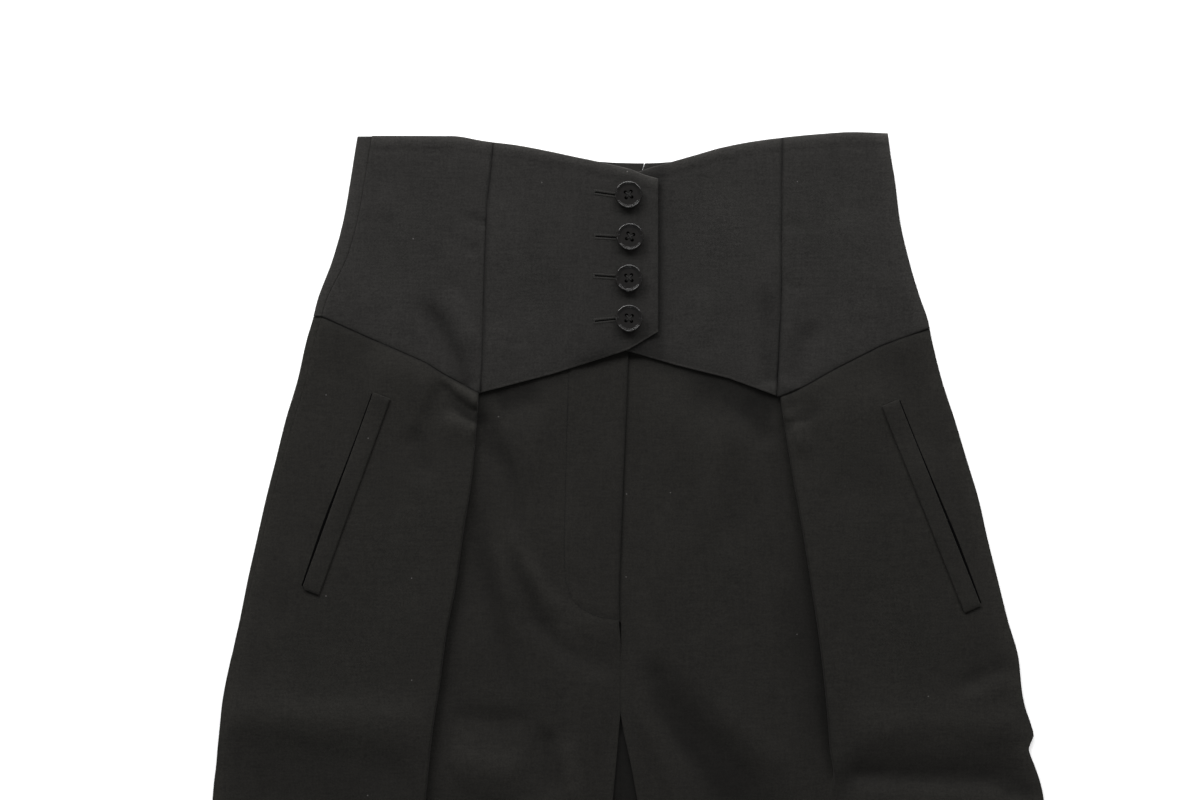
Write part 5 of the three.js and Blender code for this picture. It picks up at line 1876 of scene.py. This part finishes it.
class TROUSERS_OT_buttonholes(bpy.types.Operator):
    """Makes the worked buttonholes: dark tubes of painted shade in the slits, bordered with close
    stitches
    """

    bl_idname = "trousers.buttonholes"
    bl_label = "Buttonholes"

    def execute(self, context):
        cloth = context.scene.trousers_cloth
        stitches = context.scene.trousers_stitches
        surface = cloth.yoke_thickness / MM / 2
        thread = thread_material("buttonhole thread", [channel * 1.5 for channel in stitches.colour])
        # Near-black tubes as painted shade in the buttonhole slits
        dark = thread_material("buttonhole slit shade", (0.0015, 0.0015, 0.0015), 0.0)
        holes = zip(BUTTONHOLES["y1"], BUTTONHOLES["x1"], BUTTONHOLES["y2"])
        for i, (y1, start, y2) in enumerate(holes):
            along = np.linspace(0, 1, 30)
            xs = mix(start, BUTTONHOLE_END, along)
            ys = mix(y1, y2, along)
            above = surface + BORDER_LIFT
            lines = [
                [(x, y + beside, on_overlap(x, y + beside, above)) for x, y in zip(xs, ys)]
                for beside in (-BORDER, BORDER)
            ]
            bar = [
                (start - BAR_BACK, y1 + up, on_overlap(start, y1 + up, surface + BAR_LIFT))
                for up in np.linspace(-BAR_REACH, BAR_REACH, 8)
            ]
            values = {**BUTTONHOLE_STITCHES, "Seed": stitches.seed + i}
            name = f"buttonhole_{i + 1}"
            worked = add_object(name, stitch_mesh(name, lines + [bar], values, thread), thread)
            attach(worked, "root")
            path = [(x, y, on_overlap(x, y, surface - SLIT_SINK)) for x, y in zip(xs, ys)]
            tube = joined_tubes("slit", [path], SLIT_RADIUS)
            slit = add_object(f"buttonhole_slit_shade_{i + 1}", tube, dark)
            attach(slit, "root")
        return {"FINISHED"}


class TROUSERS_OT_fly_stitches(bpy.types.Operator):
    """Makes the curved line of stitches that closes the fly"""

    bl_idname = "trousers.fly_stitches"
    bl_label = "Fly stitches"

    def execute(self, context):
        cloth = context.scene.trousers_cloth
        stitches = context.scene.trousers_stitches
        surface = cloth.leg_thickness / MM / 2
        # The fly's thread is made far darker than the cloth: real stitches, darkened as painted shade
        # of the groove they press in
        thread = thread_material("fly thread and groove shade", [channel * 0.15 for channel in stitches.colour])
        line = curve_points(FLY_LINE, 1.2)
        heights = leg_front_z("right", line[:, 0], line[:, 1]) + surface
        path = np.column_stack([line, heights])
        values = {
            "Spacing": stitches.length + FLY_STITCH_GAP * MM, "Stitch length": stitches.length,
            "Thread": stitches.thread * 1.3, "Turn": 0.0, "Unevenness": 0.06, "Seed": stitches.seed,
        }
        sewn = add_object("fly_stitches", stitch_mesh("fly_stitches", [path], values, thread), thread)
        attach(sewn, "root")
        return {"FINISHED"}


# Soft lights: places and sizes in metres, power in watts
LIGHT_COLUMNS = "name place aim power size"
LIGHTS = (
    ("window_left", (-1.15, 2.25, 1.15), (-0.05, 0.3, 0), 70.0, (1.5, 0.8)),
    ("window_middle", (0.05, 2.35, 1.15), (0.0, 0.3, 0), 32.0, (0.9, 0.8)),
    ("window_right", (1.25, 2.25, 1.15), (0.0, 0.3, 0), 43.0, (1.5, 0.8)),
    ("fill_low", (0.1, -1.3, 1.3), (0, 0.3, 0), 5.0, (1.0, 0.5)),
    ("lamp_left", (-1.4, 0.45, 0.95), (0, 0.4, 0), 1.0, (0.2, 0.2)),
    ("lamp_right", (1.4, 0.35, 0.95), (0, 0.4, 0), 1.0, (0.2, 0.2)),
    ("lamp_low", (-0.1, -1.0, 0.95), (0, 0.4, 0), 1.0, (0.2, 0.2)),
)
FLOOR_HALF = 3.0
ROOM_LIGHT = 0.18
CLOTH_TOP = 4.0  # the level at which the view width is measured


def paper_material():
    """White paper that glows a little, so that the floor stays pale."""
    paper = bpy.data.materials.new("white paper")
    paper.use_nodes = True
    shader = paper.node_tree.nodes["Principled BSDF"]
    fill_in(shader, Base_Color=(0.9, 0.9, 0.9, 1), Roughness=0.9)
    fill_in(shader, Emission_Color=(1, 1, 1, 1), Emission_Strength=0.25)
    return paper


class TROUSERS_OT_stage(bpy.types.Operator):
    """Makes the pale floor, the soft lights and the camera"""

    bl_idname = "trousers.stage"
    bl_label = "Stage"

    def execute(self, context):
        stage = context.scene.trousers_stage
        scene = context.scene
        scene.view_settings.view_transform = "Standard"
        floor_mesh = bpy.data.meshes.new("floor")
        corners = [(-1, -1), (1, -1), (1, 1), (-1, 1)]
        points = [(across * FLOOR_HALF, up * FLOOR_HALF, 0) for across, up in corners]
        floor_mesh.from_pydata(points, [], [(0, 1, 2, 3)])
        floor = add_object("floor", floor_mesh, paper_material())

        world = bpy.data.worlds.new("soft room")
        scene.world = world
        world.use_nodes = True
        background = world.node_tree.nodes["Background"]
        fill_in(background, Color=(1, 1, 1, 1), Strength=ROOM_LIGHT * stage.brightness)

        for row in LIGHTS:
            light = dict(zip(LIGHT_COLUMNS.split(), row))
            data = bpy.data.lights.new(light["name"], "AREA")
            data.shape = "RECTANGLE"
            data.size, data.size_y = light["size"]
            data.energy = light["power"] * stage.brightness
            lamp = link_object(light["name"], data)
            lamp.location = light["place"]
            toward = Vector(light["aim"]) - Vector(light["place"])
            lamp.rotation_euler = toward.to_track_quat("-Z", "Y").to_euler()

        lens = bpy.data.cameras.new("overhead")
        lens.lens = stage.lens
        lens.sensor_width = 36.0
        camera = link_object("overhead", lens)
        distance = stage.view_width * stage.lens / lens.sensor_width
        camera.location = (*stage.centre, distance + CLOTH_TOP * MM)
        scene.camera = camera
        return {"FINISHED"}


class TROUSERS_PT_make(bpy.types.Panel):
    bl_label = "Trousers"
    bl_idname = "TROUSERS_PT_make"
    bl_space_type = "VIEW_3D"
    bl_region_type = "UI"
    bl_category = "Trousers"

    def draw(self, context):
        for group in SETTINGS:
            settings = getattr(context.scene, group)
            box = self.layout.box()
            for name in settings.bl_rna.properties.keys():
                if name not in ("name", "rna_type"):
                    box.prop(settings, name)
        for step in STEPS:
            self.layout.operator(f"trousers.{step}")


CLASSES = (
    TrousersCloth,
    TrousersButtons,
    TrousersStitches,
    TrousersStage,
    TROUSERS_OT_leg_backs,
    TROUSERS_OT_leg_fronts,
    TROUSERS_OT_yoke,
    TROUSERS_OT_welts,
    TROUSERS_OT_buttons,
    TROUSERS_OT_buttonholes,
    TROUSERS_OT_fly_stitches,
    TROUSERS_OT_stage,
    TROUSERS_PT_make,
)

# Operators in the order in which they run
STEPS = (
    "stage",
    "leg_backs",
    "leg_fronts",
    "yoke",
    "welts",
    "buttons",
    "buttonholes",
    "fly_stitches",
)


SETTINGS = {
    "trousers_cloth": TrousersCloth,
    "trousers_buttons": TrousersButtons,
    "trousers_stitches": TrousersStitches,
    "trousers_stage": TrousersStage,
}


def register():
    for item in CLASSES:
        bpy.utils.register_class(item)
    for name, group in SETTINGS.items():
        setattr(bpy.types.Scene, name, PointerProperty(type=group))


def unregister():
    for name in SETTINGS:
        delattr(bpy.types.Scene, name)
    for item in reversed(CLASSES):
        bpy.utils.unregister_class(item)


def plain(box):
    return [[float(value) for value in corner] for corner in box]


def main():
    register()
    for step in STEPS:
        getattr(bpy.ops.trousers, step)()


if __name__ == "__main__":
    main()
